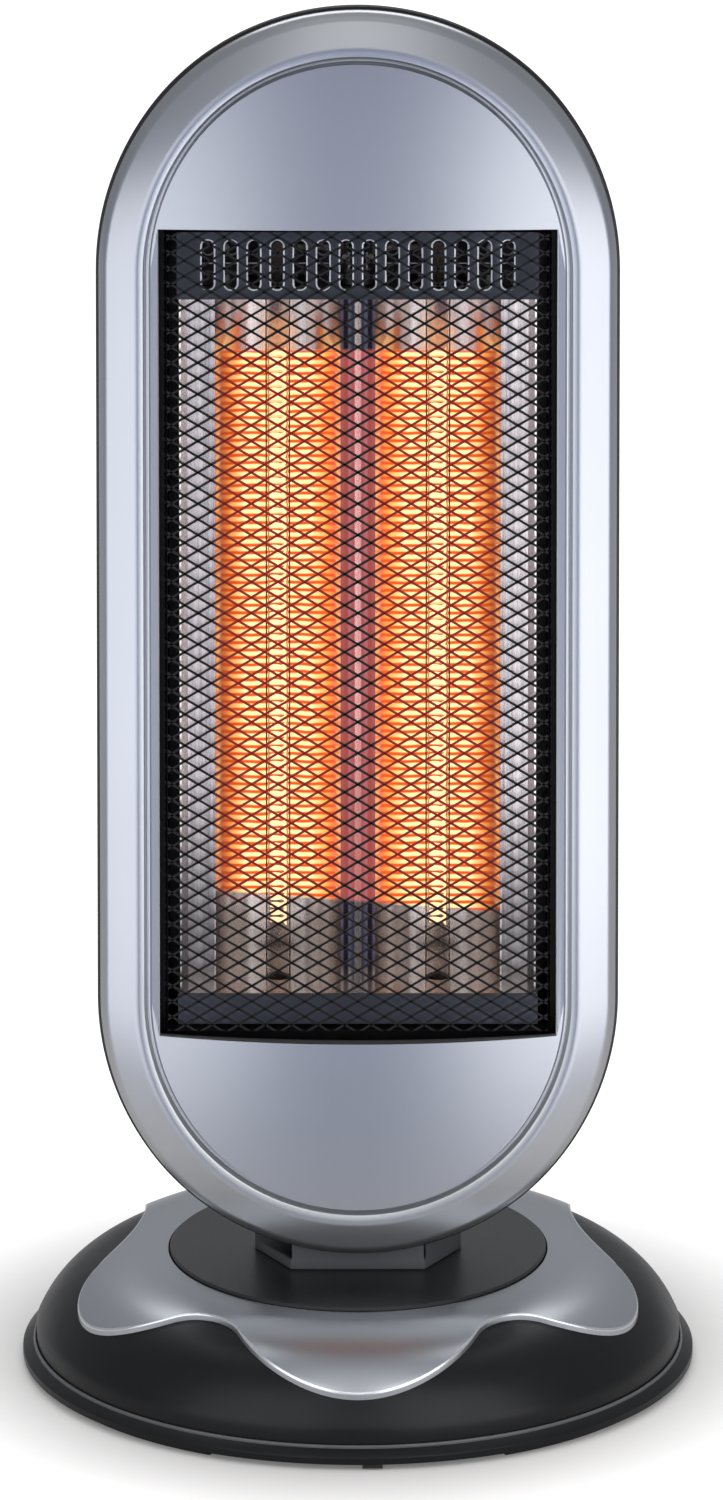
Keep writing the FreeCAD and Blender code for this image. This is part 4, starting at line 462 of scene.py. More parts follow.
head_reach = (frame_high.z - frame_low.z - (frame_high.x - frame_low.x)) / 2
shape = bmesh.new()
outer_edge = frame_high.x
section = [(PANEL_INSET, PANEL_RISE), (22.3, 5.0), (21.0, 5.0), (19.7, 8.1), (16.1, 9.0), (2.8, 5.6),
           (0.0, 2.4), (0.0, 0.0), (FRAME_WALL, 0.0), (FRAME_WALL + 0.6, 1.6), (16.1, 9.0 - FRAME_WALL),
           (PANEL_INSET, PANEL_RISE - FRAME_WALL)]
spots, chain = add_chain(shape, [(outer_edge - inward, -rise, 0.0) for inward, rise in section])
for at, reach, segments in ((1, 0.3, 3), (2, 0.3, 3), (3, 0.45, 3), (4, 1.6, 6), (5, 1.5, 5), (6, 1.2, 4)):
    round_corner(shape, spots[at], reach, segments)
carry_round(shape, shape.edges[:], head_reach)
foot = [(WINDOW_HALF * (1 - step / 12), -PANEL_RISE, WINDOW_FOOT - WINDOW_SAG * (1 - (1 - step / 12) ** 2))
        for step in range(25)]
spots, window = add_chain(shape, [(-WINDOW_HALF, -PANEL_RISE, WINDOW_TOP),
                                  (WINDOW_HALF, -PANEL_RISE, WINDOW_TOP)] + foot, closed=True)
fill_plate(shape, FRAME_WALL, window)
bmesh.ops.bevel(shape, geom=[edge for edge in window if edge.is_valid], offset=0.5, offset_type="OFFSET",
                segments=2, profile=0.5, affect="EDGES", material=-1)
panel = [face for face in shape.faces if abs(face.calc_center_median().y + PANEL_RISE) < 0.01]
cuts = [((step * PANEL_CUT, 0.0, 0.0), (1.0, 0.0, 0.0)) for step in range(-14, 15)]
cuts += [((0.0, 0.0, level), (0.0, 0.0, 1.0)) for level in (WINDOW_TOP - SIDE_SLOPE, WINDOW_FOOT + SIDE_SLOPE)]
for spot, way in cuts:
    spots = {vert for face in panel for vert in face.verts}
    edges = {edge for face in panel for edge in face.edges}
    cut = bmesh.ops.bisect_plane(shape, geom=[*spots, *edges, *panel], plane_co=spot, plane_no=way)
    panel = only(bmesh.types.BMFace, cut["geom"])
for vert in {vert for face in panel for vert in face.verts}:
    vert.co.y -= PANEL_BOW * (1 - (vert.co.x / (outer_edge - PANEL_INSET)) ** 2)
    beside = WINDOW_FOOT + SIDE_SLOPE - 0.1 < vert.co.z < WINDOW_TOP - SIDE_SLOPE + 0.1
    if beside and abs(vert.co.x) < WINDOW_HALF + 1.0:
        vert.co.y = SIDE_DROP - PANEL_RISE
bmesh.ops.translate(shape, vec=(0.0, PARTING, head_middle), verts=shape.verts)
finish_piece("front_frame_moulding", shape, silver_paint, "silver_paint", "head", "front_frame", sharp=28.0)


# Rear cover: a tapered bowl moulded in textured black ABS, with two groups of louvres, five deep screw
# wells and the selector's hole. Screws in the wells hold it to the front frame.

# Textured ABS: a matt dark grey without clear reflections. Its spark texture of 0.2 mm is too fine to
# show and is drawn 0.71 mm across.
cover_plastic = new_material("textured_black_abs")
place = add_node(cover_plastic, "TexCoord").outputs["Object"]
spark = add_node(cover_plastic, "TexVoronoi", {"Vector": place, "Scale": 1 / (0.714 * MM)})
grain = add_node(cover_plastic, "Bump", {"Height": spark, "Strength": 0.25, "Distance": 0.3 * MM})
sheen = add_node(cover_plastic, "MapRange", {"Value": spark, "To Min": 0.45, "To Max": 0.62})
shader = add_node(cover_plastic, "BsdfPrincipled", {
    "Base Color": linear("#141517"), "Roughness": sheen, "Normal": grain})
add_node(cover_plastic, "OutputMaterial", {"Surface": shader})

rear_low, rear_high = millimetres("rear_cover")
COVER_WALL = 2.2
COVER_DEPTH = rear_high.y - rear_low.y
LOUVRE_LEVELS = (120.0, -120.0)
LOUVRE_COUNT, LOUVRE_PITCH, LOUVRE_HALF, LOUVRE_RADIUS = 6, 11.0, 50.0, 2.0
WELL_RADIUS, WELL_DEPTH = 3.5, 47.0
SELECTOR_RADIUS, SELECTOR_RISE = 3.1, -201.0
WELLS = ((-66.0, 217.0), (66.0, 217.0), (-66.0, -217.0), (66.0, -217.0), (0.0, 254.0))


def add_ring(shape, across, depth, rise, radius, stretch=0.0, segments=24):
    """A circle of edges facing front and back, its halves drawn apart sideways into a slot."""
    ring = bmesh.ops.create_circle(shape, radius=radius, segments=segments,
                                   matrix=Matrix.Rotation(math.pi / 2, 4, "X"))["verts"]
    for vert in ring:
        vert.co.x += math.copysign(stretch, vert.co.x) if abs(vert.co.x) > 0.001 else 0.0
    bmesh.ops.translate(shape, vec=(across, depth, rise), verts=ring)
    return list({edge for vert in ring for edge in vert.link_edges})


section = [(31.0, COVER_DEPTH), (29.8, 61.6), (21.8, 52.0), (0.0, 3.0), (0.0, 0.0), (3.4, 0.0), (3.4, 3.0),
           (24.0, 50.9), (31.2, 59.9), (31.8, COVER_DEPTH - COVER_WALL)]
shape = bmesh.new()
spots, chain = add_chain(shape, [(rear_high.x - inward, depth, 0.0) for inward, depth in section])
for at, reach in ((1, 2.2), (2, 3.5), (3, 0.8), (4, 0.5)):
    round_corner(shape, spots[at], reach)
carry_round(shape, shape.edges[:], (rear_high.z - rear_low.z) / 2 - rear_high.x)
openings = add_ring(shape, 0.0, COVER_DEPTH, SELECTOR_RISE, SELECTOR_RADIUS)
for level in LOUVRE_LEVELS:
    for step in range(LOUVRE_COUNT):
        rise = level + (step - (LOUVRE_COUNT - 1) / 2) * LOUVRE_PITCH
        openings += add_ring(shape, 0.0, COVER_DEPTH, rise, LOUVRE_RADIUS, LOUVRE_HALF)
for across, rise in WELLS:
    openings += add_ring(shape, across, COVER_DEPTH, rise, WELL_RADIUS)
fill_plate(shape, -COVER_WALL, openings)
bmesh.ops.bevel(shape, geom=openings, offset=0.4, offset_type="OFFSET", segments=2, profile=0.5,
                affect="EDGES", material=-1)
for across, rise in WELLS:
    place = Matrix.Translation((across, COVER_DEPTH - 0.6 - WELL_DEPTH / 2, rise))
    bmesh.ops.create_cone(shape, cap_ends=False, segments=24, radius1=WELL_RADIUS, radius2=WELL_RADIUS,
                          depth=WELL_DEPTH, matrix=place @ Matrix.Rotation(math.pi / 2, 4, "X"))
bmesh.ops.translate(shape, vec=(0.0, PARTING, head_middle), verts=shape.verts)
finish_piece("rear_cover_moulding", shape, cover_plastic, "black_plastic", "head", "rear_cover", sharp=20.0)


# Mesh guard: expanded steel enamelled black, folded back at both sides into a shallow tray with a
# flange, which screws hold behind the window. Its strands are trimmed to the sheet and bent at the folds.

# Black enamel: nearly black, with a dim sheen that varies over 1.7 mm, and a painted deep red glow in front
# of the troughs, standing in for the heaters' light falling on it.
guard_enamel = new_material("black_enamelled_steel")
place = add_node(guard_enamel, "TexCoord").outputs["Object"]
chips = add_node(guard_enamel, "TexNoise", {"Vector": place, "Scale": 1 / (1.67 * MM), "Detail": 3.0})
sheen = add_node(guard_enamel, "MapRange", {"Value": chips, "To Min": 0.42, "To Max": 0.6})
grain = add_node(guard_enamel, "Bump", {"Height": chips, "Strength": 0.2, "Distance": 0.2 * MM})
GLOW_FOOT, GLOW_TOP, GLOW_SLANT = 215.0, 475.0, 0.344
TUBE_SIDE, TROUGH_RADIUS = 35.5, 27.8
axes = add_node(guard_enamel, "SeparateXYZ", {"Vector": place})
off = add_node(guard_enamel, "Math", {0: axes.outputs["X"]}, operation="ABSOLUTE")
off = add_node(guard_enamel, "Math", {0: off, 1: TUBE_SIDE * MM}, operation="SUBTRACT")
off = add_node(guard_enamel, "Math", {0: off}, operation="ABSOLUTE")
near = add_node(guard_enamel, "MapRange", {
    "Value": off, "From Min": (TROUGH_RADIUS + 2.0) * MM, "From Max": (TROUGH_RADIUS - 8.0) * MM})
level = add_node(guard_enamel, "Math", {
    0: axes.outputs["Y"], 1: GLOW_SLANT, 2: axes.outputs["Z"]}, operation="MULTIPLY_ADD")
foot = add_node(guard_enamel, "MapRange", {
    "Value": level, "From Min": GLOW_FOOT * MM, "From Max": (GLOW_FOOT + 12.0) * MM})
head = add_node(guard_enamel, "MapRange", {
    "Value": level, "From Min": (GLOW_TOP + 4.0) * MM, "From Max": (GLOW_TOP - 12.0) * MM})
warm = add_node(guard_enamel, "Math", {0: foot, 1: head}, operation="MULTIPLY")
warm = add_node(guard_enamel, "Math", {0: warm, 1: near}, operation="MULTIPLY")
shader = add_node(guard_enamel, "BsdfPrincipled", {
    "Base Color": linear("#060607"), "Roughness": sheen, "Normal": grain, "Specular IOR Level": 0.25,
    "Emission Color": linear("#84180A"), "Emission Strength": warm})
add_node(guard_enamel, "OutputMaterial", {"Surface": shader})

guard_low, guard_high = millimetres("mesh_guard")
FLANGE = 14.0
TRAY_DEPTH = 14.0
CELL_WIDTH, CELL_HEIGHT = 11.8, 7.3
STRAND_WIDTH, STRAND_DEPTH = 0.95, 0.8
fold = guard_high.x - FLANGE
net_top = guard_high.z - FLANGE - head_middle
net_foot = guard_low.z + FLANGE - head_middle
net_front = guard_low.y - PARTING
slant = math.atan2(CELL_HEIGHT, CELL_WIDTH)
shape = bmesh.new()
bar = Vector((CELL_WIDTH, 0.0, CELL_HEIGHT)).length * 60
for side in (1, -1):
    for step in range(-36, 37):
        place = (Matrix.Translation((0.0, net_front + STRAND_DEPTH / 2, (step + 0.5) * CELL_HEIGHT))
                 @ Matrix.Rotation(-side * slant, 4, "Y"))
        bmesh.ops.create_cube(shape, size=1.0,
                              matrix=place @ Matrix.Diagonal((bar, STRAND_DEPTH, STRAND_WIDTH, 1.0)))
for spot, way in (((0, 0, net_top), (0, 0, 1)), ((0, 0, net_foot), (0, 0, -1)),
                  ((fold + TRAY_DEPTH, 0, 0), (1, 0, 0)), ((-fold - TRAY_DEPTH, 0, 0), (-1, 0, 0))):
    bmesh.ops.bisect_plane(shape, geom=shape.verts[:] + shape.edges[:] + shape.faces[:], plane_co=spot,
                           plane_no=way, clear_outer=True)
for side in (1, -1):
    bmesh.ops.bisect_plane(shape, geom=shape.verts[:] + shape.edges[:] + shape.faces[:],
                           plane_co=(side * fold, 0, 0), plane_no=(1, 0, 0))
    bmesh.ops.rotate(shape, cent=(side * fold, net_front + STRAND_DEPTH / 2, 0.0),
                     matrix=Matrix.Rotation(side * math.radians(86.0), 3, "Z"),
                     verts=[vert for vert in shape.verts if side * vert.co.x > fold + 0.001])
for edge in ([(-fold, net_top), (fold, net_top)], [(fold, net_foot), (-fold, net_foot)]):
    spots, chain = add_chain(shape, [(across, net_front, rise) for across, rise in edge])
    draw_out(shape, chain, (0.0, TRAY_DEPTH, 0.0))
borders = []
for grow in (0.0, FLANGE):
    ends = ((-1, net_foot - grow), (1, net_foot - grow), (1, net_top + grow), (-1, net_top + grow))
    spots, chain = add_chain(shape, [(across * (fold + grow), net_front + TRAY_DEPTH, rise)
                                     for across, rise in ends], closed=True)
    borders += chain
bmesh.ops.triangle_fill(shape, use_beauty=True, edges=borders)
bmesh.ops.translate(shape, vec=(0.0, PARTING, head_middle), verts=shape.verts)
finish_piece("guard_net", shape, guard_enamel, "black_paint", "head", "mesh_guard")


# Reflector: one sheet of bright anodised aluminium, pressed into a half-round trough behind each
# tube, with flats beside them and a flared flange at each side, held between the end plates.
reflector_low, reflector_high = millimetres("reflector")
SHEET = 0.8
FLAT_DEPTH = 20.0
REFLECTOR_HALF = 75.5
RIDGE_HALF, RIDGE_RISE = 1.4, 1.2
FLANGE_DEPTH = 15.0
COIL_PITCH = 3.5
# Bright aluminium: a mirror drawn into upright streaks of rolling marks about 3 mm apart. In front, its
# reflection of the glowing coil is painted on as a glow over a darkened base: the coil's turns as wavy orange
# bands that fade to red at the troughs' edges, and a red glow on the flat between the troughs. That flat also
# has painted highlight and shade lines along its ridge, and the outer flats are darker towards the foot.
bright_sheet = new_material("bright_anodised_aluminium")
place = add_node(bright_sheet, "TexCoord").outputs["Object"]
stretch = add_node(bright_sheet, "Mapping", {"Vector": place, "Scale": (1.0, 1.0, 0.25)})
lines = add_node(bright_sheet, "Mapping", {"Vector": place, "Scale": (1.0, 1.0, 0.04)})
wave = add_node(bright_sheet, "TexNoise", {"Vector": lines, "Scale": 3 / (10 * MM), "Detail": 2.0})
grain = add_node(bright_sheet, "Bump", {"Height": wave, "Strength": 0.07, "Distance": 1.0 * MM})
axes = add_node(bright_sheet, "SeparateXYZ", {"Vector": place})
side = add_node(bright_sheet, "Math", {0: axes.outputs["X"]}, operation="ABSOLUTE")
outward = add_node(bright_sheet, "Math", {0: side, 1: TUBE_SIDE * MM}, operation="SUBTRACT")
off = add_node(bright_sheet, "Math", {0: outward}, operation="ABSOLUTE")
near = add_node(bright_sheet, "MapRange", {"Value": off, "From Min": TROUGH_RADIUS * MM, "From Max": 0.0})
level = add_node(bright_sheet, "Math", {
    0: axes.outputs["Y"], 1: GLOW_SLANT, 2: axes.outputs["Z"]}, operation="MULTIPLY_ADD")
ragged = add_node(bright_sheet, "Math", {0: axes.outputs["X"], 1: 0.08, 2: level}, operation="MULTIPLY_ADD")
foot = add_node(bright_sheet, "MapRange", {
    "Value": ragged, "From Min": GLOW_FOOT * MM, "From Max": (GLOW_FOOT + 1.5) * MM})
head = add_node(bright_sheet, "MapRange", {
    "Value": level, "From Min": GLOW_TOP * MM, "From Max": (GLOW_TOP - 1.5) * MM})
facing = add_node(bright_sheet, "Attribute", attribute_name="facing")
lit = add_node(bright_sheet, "Math", {0: foot, 1: head}, operation="MULTIPLY")
lit = add_node(bright_sheet, "Math", {0: lit, 1: facing.outputs["Fac"]}, operation="MULTIPLY")
edge = add_node(bright_sheet, "MapRange", {"Value": near, "From Min": 0.02, "From Max": 0.10})
ridge = add_node(bright_sheet, "MapRange", {
    "Value": side, "From Min": 9.0 * MM, "From Max": 6.0 * MM, "To Max": 0.75})
warm = add_node(bright_sheet, "Math", {0: edge, 1: ridge}, operation="MAXIMUM")
warm = add_node(bright_sheet, "Math", {0: lit, 1: warm}, operation="MULTIPLY")
lit = add_node(bright_sheet, "Math", {0: lit, 1: edge}, operation="MULTIPLY")
sag = add_node(bright_sheet, "TexNoise", {"Vector": stretch, "Scale": 3 / (50 * MM), "Detail": 3.0})
sag = add_node(bright_sheet, "Math", {0: sag, 1: 0.6 * COIL_PITCH * MM, 2: level}, operation="MULTIPLY_ADD")
turns = add_node(bright_sheet, "Math", {0: sag, 1: 2 * math.pi / (COIL_PITCH * MM)}, operation="MULTIPLY")
turns = add_node(bright_sheet, "Math", {0: turns}, operation="SINE")
bands = add_node(bright_sheet, "MapRange", {"Value": turns, "From Min": -0.7, "From Max": 0.4})
hues = []
for codes in (("#A84A3E", "#B8402A", "#E0501C", "#D8501E"), ("#A84A3E", "#D4523A", "#FFA048", "#FFEAA4")):
    hue = add_node(bright_sheet, "ValToRGB", {"Fac": near})
    for stop, (spot, code) in enumerate(zip((0.0, 0.08, 0.22, 0.5), codes)):
        mark = hue.color_ramp.elements[stop] if stop < 2 else hue.color_ramp.elements.new(spot)
        mark.position = spot
        mark.color = linear(code)
    hues.append(hue)
glow_hue = add_node(bright_sheet, "Mix", {"Factor": bands, "A": hues[0], "B": hues[1]}, data_type="RGBA")
# The outer flats are darker towards the foot.
darker_foot = add_node(bright_sheet, "MapRange", {
    "Value": level, "From Min": (GLOW_FOOT + 60.0) * MM, "From Max": (GLOW_FOOT - 10.0) * MM})
beside = add_node(bright_sheet, "MapRange", {
    "Value": outward, "From Min": TROUGH_RADIUS * MM, "From Max": (TROUGH_RADIUS + 1.0) * MM, "To Max": 0.7})
darker_foot = add_node(bright_sheet, "Math", {0: darker_foot, 1: beside}, operation="MULTIPLY")
skin = add_node(bright_sheet, "Mix", {
    "Factor": darker_foot, "A": linear("#D0C6C0"), "B": linear("#4A4648")}, data_type="RGBA")
# The flat between the troughs gets painted highlight and shade lines along its ridge.
between = add_node(bright_sheet, "Math", {
    0: side, 1: 0.0, 2: (TUBE_SIDE - TROUGH_RADIUS) * MM}, operation="COMPARE")
painted_ridge_lines = add_node(bright_sheet, "MapRange", {"Value": side, "From Max": (TUBE_SIDE - TROUGH_RADIUS) * MM})
painted_ridge_lines = add_node(bright_sheet, "ValToRGB", {"Fac": painted_ridge_lines})
for stop, (spot, code) in enumerate(((0.0, "#FFFFFF"), (0.15, "#FFFFFF"), (0.22, "#544C50"), (0.50, "#A39A9A"),
                                     (0.60, "#3E363A"), (0.78, "#3E363A"), (0.90, "#A08A88"))):
    mark = painted_ridge_lines.color_ramp.elements[stop] if stop < 2 else painted_ridge_lines.color_ramp.elements.new(spot)
    mark.position = spot
    mark.color = linear(code)
skin = add_node(bright_sheet, "Mix", {"Factor": between, "A": skin, "B": painted_ridge_lines}, data_type="RGBA")
skin = add_node(bright_sheet, "Mix", {"Factor": lit, "A": skin, "B": linear("#3A1C10")}, data_type="RGBA")
fade = add_node(bright_sheet, "MapRange", {
    "Value": outward, "From Min": 15.0 * MM, "From Max": TROUGH_RADIUS * MM, "To Min": 1.35, "To Max": 0.35})
power = add_node(bright_sheet, "Math", {0: warm, 1: fade}, operation="MULTIPLY")
shader = add_node(bright_sheet, "BsdfPrincipled", {
    "Base Color": skin, "Metallic": 1.0, "Roughness": 0.20, "Normal": grain, "Emission Color": glow_hue,
    "Emission Strength": power})
add_node(bright_sheet, "OutputMaterial", {"Surface": shader})


def fold_sheet(shape, points, way, thickness):
    """A bent sheet: its section's edges drawn out along a way and given a thickness."""
    spots, chain = add_chain(shape, points)
    bmesh.ops.solidify(shape, geom=only(bmesh.types.BMFace, draw_out(shape, chain, way)), thickness=thickness)


troughs = [(side * TUBE_SIDE - TROUGH_RADIUS * math.cos(math.pi * step / 40),
            FLAT_DEPTH + TROUGH_RADIUS * math.sin(math.pi * step / 40))
           for side in (-1, 1) for step in range(41)]
troughs[41:41] = [(-RIDGE_HALF, FLAT_DEPTH), (0.0, FLAT_DEPTH - RIDGE_RISE), (RIDGE_HALF, FLAT_DEPTH)]
flare = reflector_high.x - SHEET - REFLECTOR_HALF
section = ([(-REFLECTOR_HALF - flare, FLAT_DEPTH - FLANGE_DEPTH), (-REFLECTOR_HALF, FLAT_DEPTH)] + troughs
           + [(REFLECTOR_HALF, FLAT_DEPTH), (REFLECTOR_HALF + flare, FLAT_DEPTH - FLANGE_DEPTH)])
shape = bmesh.new()
fold_sheet(shape, [(across, depth, 0.0) for across, depth in section],
           (0.0, 0.0, reflector_high.z - reflector_low.z), -SHEET)
bmesh.ops.translate(shape, vec=(0.0, PARTING, reflector_low.z), verts=shape.verts)
bmesh.ops.recalc_face_normals(shape, faces=shape.faces)
facing = shape.faces.layers.float.new("facing")
for face in shape.faces:
    face[facing] = float(face.normal.y < 0.0)
finish_piece("reflector_sheet", shape, bright_sheet, "bright_sheet", "head", "reflector", sharp=40.0)


# End plates: folded steel sheet across both ends of the reflector, screwed down by their tails. The upper
# one has punched slots in its front flange and a bright underside. The lower one keeps its CAD shape.
upper_low, upper_high = millimetres("upper_end_plate")
SLOT_COUNT, SLOT_PITCH, SLOT_RADIUS, SLOT_HALF, SLOT_RISE = 14, 10.2, 2.65, 8.6, 4.2
slot_middle = upper_low.z + SLOT_RISE + SLOT_RADIUS + SLOT_HALF
# Steel sheet: bright metal, painted a slate grey mottled over 11 mm for the shade it mirrors behind the guard,
# except behind the flange and under the shelf, where it stays bright and glossy. Each slot's edge has a painted
# bright rim as a highlight.
plate_paint = new_material("steel_sheet_painted_dark")
place = add_node(plate_paint, "TexCoord").outputs["Object"]
axes = add_node(plate_paint, "SeparateXYZ", {"Vector": place})
inside = add_node(plate_paint, "MapRange", {
    "Value": axes.outputs["Y"], "From Min": (PARTING + 2.9) * MM, "From Max": (PARTING + 3.5) * MM})
under = add_node(plate_paint, "Math", {
    0: axes.outputs["Z"], 1: (upper_low.z + 0.3) * MM}, operation="LESS_THAN")
inside = add_node(plate_paint, "Math", {0: inside, 1: under}, operation="MULTIPLY")
mottle = add_node(plate_paint, "TexNoise", {"Vector": place, "Scale": 1 / (11.1 * MM), "Detail": 5.0})
tone = add_node(plate_paint, "Mix", {
    "Factor": mottle, "A": linear("#3A3D44"), "B": linear("#484B52")}, data_type="RGBA")
tone = add_node(plate_paint, "Mix", {"Factor": inside, "A": tone, "B": linear("#B4B4B6")}, data_type="RGBA")
across = add_node(plate_paint, "Math", {0: axes.outputs["X"], 1: SLOT_PITCH * MM, 2: 0.0}, operation="WRAP")
across = add_node(plate_paint, "Math", {0: across, 1: SLOT_PITCH / 2 * MM}, operation="SUBTRACT")
along = add_node(plate_paint, "Math", {0: axes.outputs["Z"], 1: slot_middle * MM}, operation="SUBTRACT")
along = add_node(plate_paint, "Math", {0: along}, operation="ABSOLUTE")
along = add_node(plate_paint, "MapRange", {
    "Value": along, "From Min": SLOT_HALF * MM, "From Max": (SLOT_HALF + 10.0) * MM, "To Max": 10.0 * MM})
apart = add_node(plate_paint, "CombineXYZ", {"X": across, "Y": along})
apart = add_node(plate_paint, "VectorMath", {0: apart}, operation="LENGTH")
# Each slot's edge gets a painted bright rim as a highlight.
painted_slot_rim = add_node(plate_paint, "Math", {
    0: apart, 1: (SLOT_RADIUS + 0.3) * MM, 2: 0.4 * MM}, operation="COMPARE")
row = add_node(plate_paint, "Math", {
    0: axes.outputs["X"], 1: 0.0, 2: SLOT_COUNT * SLOT_PITCH / 2 * MM}, operation="COMPARE")
painted_slot_rim = add_node(plate_paint, "Math", {0: painted_slot_rim, 1: row}, operation="MULTIPLY")
tone = add_node(plate_paint, "Mix", {"Factor": painted_slot_rim, "A": tone, "B": linear("#C9CACD")}, data_type="RGBA")
sheen = add_node(plate_paint, "MapRange", {"Value": inside, "To Min": 0.42, "To Max": 0.16})
grain = add_node(plate_paint, "Bump", {"Height": mottle, "Strength": 0.15, "Distance": 0.3 * MM})
shader = add_node(plate_paint, "BsdfPrincipled", {
    "Base Color": tone, "Metallic": 0.8, "Roughness": sheen, "Normal": grain})
add_node(plate_paint, "OutputMaterial", {"Surface": shader})

PLATE_FRONT, PLATE_BACK, PLATE_TAIL = 2.0, 52.0, 14.0
shelf = upper_low.z - head_middle
flange = upper_high.z - upper_low.z
shape = bmesh.new()
spots, rim = add_chain(shape, [(upper_low.x, PLATE_FRONT, shelf), (upper_high.x, PLATE_FRONT, shelf),
                               (upper_high.x, PLATE_FRONT, shelf + flange),
                               (upper_low.x, PLATE_FRONT, shelf + flange)], closed=True)
slots = []
for step in range(SLOT_COUNT):
    ring = bmesh.ops.create_circle(shape, radius=SLOT_RADIUS, segments=20,
                                   matrix=Matrix.Rotation(math.pi / 2, 4, "X"))["verts"]
    for vert in ring:
        vert.co.z += math.copysign(SLOT_HALF, vert.co.z) if abs(vert.co.z) > 0.001 else 0.0
    bmesh.ops.translate(shape, vec=((step - (SLOT_COUNT - 1) / 2) * SLOT_PITCH, PLATE_FRONT,
                                    slot_middle - head_middle), verts=ring)
    slots += list({edge for vert in ring for edge in vert.link_edges})
behind = only(bmesh.types.BMEdge, draw_out(shape, slots + rim, (0.0, SHEET, 0.0)))
bmesh.ops.triangle_fill(shape, use_beauty=True, edges=slots + rim)
bmesh.ops.triangle_fill(shape, use_beauty=True, edges=behind)
bmesh.ops.bevel(shape, geom=slots, offset=0.4, offset_type="OFFSET", segments=2, profile=0.5,
                affect="EDGES", material=-1)
fold_sheet(shape, [(upper_low.x, PLATE_FRONT + SHEET, shelf), (upper_low.x, PLATE_BACK, shelf),
                   (upper_low.x, PLATE_BACK, shelf + PLATE_TAIL)],
           (upper_high.x - upper_low.x, 0.0, 0.0), SHEET)
bmesh.ops.translate(shape, vec=(0.0, PARTING, head_middle), verts=shape.verts)
finish_piece("upper_end_plate_sheet", shape, plate_paint, "plate_paint", "head", "upper_end_plate")
coat(plate_paint, "lower_end_plate", "upper_cap_straps", "lower_cap_straps")


# Quartz tubes and carbon filaments: drawn tubes of clear thin-walled quartz, each with a flat carbon
# ribbon wound into a close spiral inside it. Ceramic caps hold their ends.

# Quartz: nearly invisible from the front, with a bright line along each edge.
quartz = new_material("clear_quartz")
rim_light = add_node(quartz, "LayerWeight", {"Blend": 0.10})
clear = add_node(quartz, "BsdfTransparent", {"Color": linear("#F7F4F2")})
gloss = add_node(quartz, "BsdfGlossy", {"Roughness": 0.03})
wall = add_node(quartz, "MixShader", {0: rim_light.outputs["Fresnel"], 1: clear, 2: gloss})
add_node(quartz, "OutputMaterial", {"Surface": wall})

# Carbon: a matt grey ribbon that glows orange-yellow, except at its cooler top end.
carbon = new_material("glowing_carbon")
place = add_node(carbon, "TexCoord").outputs["Object"]
axes = add_node(carbon, "SeparateXYZ", {"Vector": place})
level = add_node(carbon, "Math", {
    0: axes.outputs["Y"], 1: GLOW_SLANT, 2: axes.outputs["Z"]}, operation="MULTIPLY_ADD")
heat = add_node(carbon, "MapRange", {
    "Value": level, "From Min": (GLOW_TOP + 2.0) * MM, "From Max": (GLOW_TOP - 2.0) * MM, "To Max": 2.1})
shader = add_node(carbon, "BsdfPrincipled", {
    "Base Color": linear("#8A8583"), "Roughness": 0.6, "Emission Color": linear("#FFC58E"),
    "Emission Strength": heat})
add_node(carbon, "OutputMaterial", {"Surface": shader})

COIL_RADIUS = 3.5
RIBBON_WIDTH, RIBBON_THICKNESS = 1.5, 0.4
TUBE_WALL = 1.0
for side in ("left", "right"):
    tube_low, tube_high = millimetres("quartz_tube_" + side)
    middle = (tube_low + tube_high) / 2
    radius = (tube_high.x - tube_low.x) / 2
    shape = bmesh.new()
    outside, inside = middle.x + radius, middle.x + radius - TUBE_WALL
    wall = ((inside, tube_low.z), (outside, tube_low.z), (outside, tube_high.z), (inside, tube_high.z))
    add_chain(shape, [(across, middle.y, rise) for across, rise in wall], closed=True)
    turn_about(shape, middle, 48)
    finish_piece("quartz_tube_glass_" + side, shape, quartz, "quartz", "head", "quartz_tube_" + side)
    coil_low, coil_high = millimetres("carbon_filament_" + side)
    turns = math.floor((coil_high.z - coil_low.z - RIBBON_WIDTH) / COIL_PITCH)
    shape = bmesh.new()
    start = Vector((middle.x + COIL_RADIUS, middle.y, coil_low.z + RIBBON_WIDTH / 2))
    add_chain(shape, [start + Vector((across * RIBBON_THICKNESS / 2, 0.0, rise * RIBBON_WIDTH / 2))
                      for across, rise in ((-1, -1), (1, -1), (1, 1), (-1, 1))], closed=True)
    bmesh.ops.spin(shape, geom=shape.verts[:] + shape.edges[:], cent=middle, axis=(0.0, 0.0, 1.0),
                   dvec=(0.0, 0.0, COIL_PITCH / 20), angle=2 * math.pi * turns, steps=20 * turns)
    bmesh.ops.holes_fill(shape, edges=[edge for edge in shape.edges if edge.is_boundary])
    finish_piece("filament_coil_" + side, shape, carbon, "carbon", "head", "carbon_filament_" + side)


# Neck: a black ABS block with cut corners on a smaller foot, moulded in one. It stands on the turntable
# and carries the head by the steel bracket that is screwed to its top.

# Semi-gloss ABS: the black moulding painted dark grey all over, as a lit copy of black, so that its front and
# rounded edges show as they catch the light.
neck_plastic = new_material("semi_gloss_black_abs")
shader = add_node(neck_plastic, "BsdfPrincipled", {"Base Color": linear("#48494C"), "Roughness": 0.28})
add_node(neck_plastic, "OutputMaterial", {"Surface": shader})

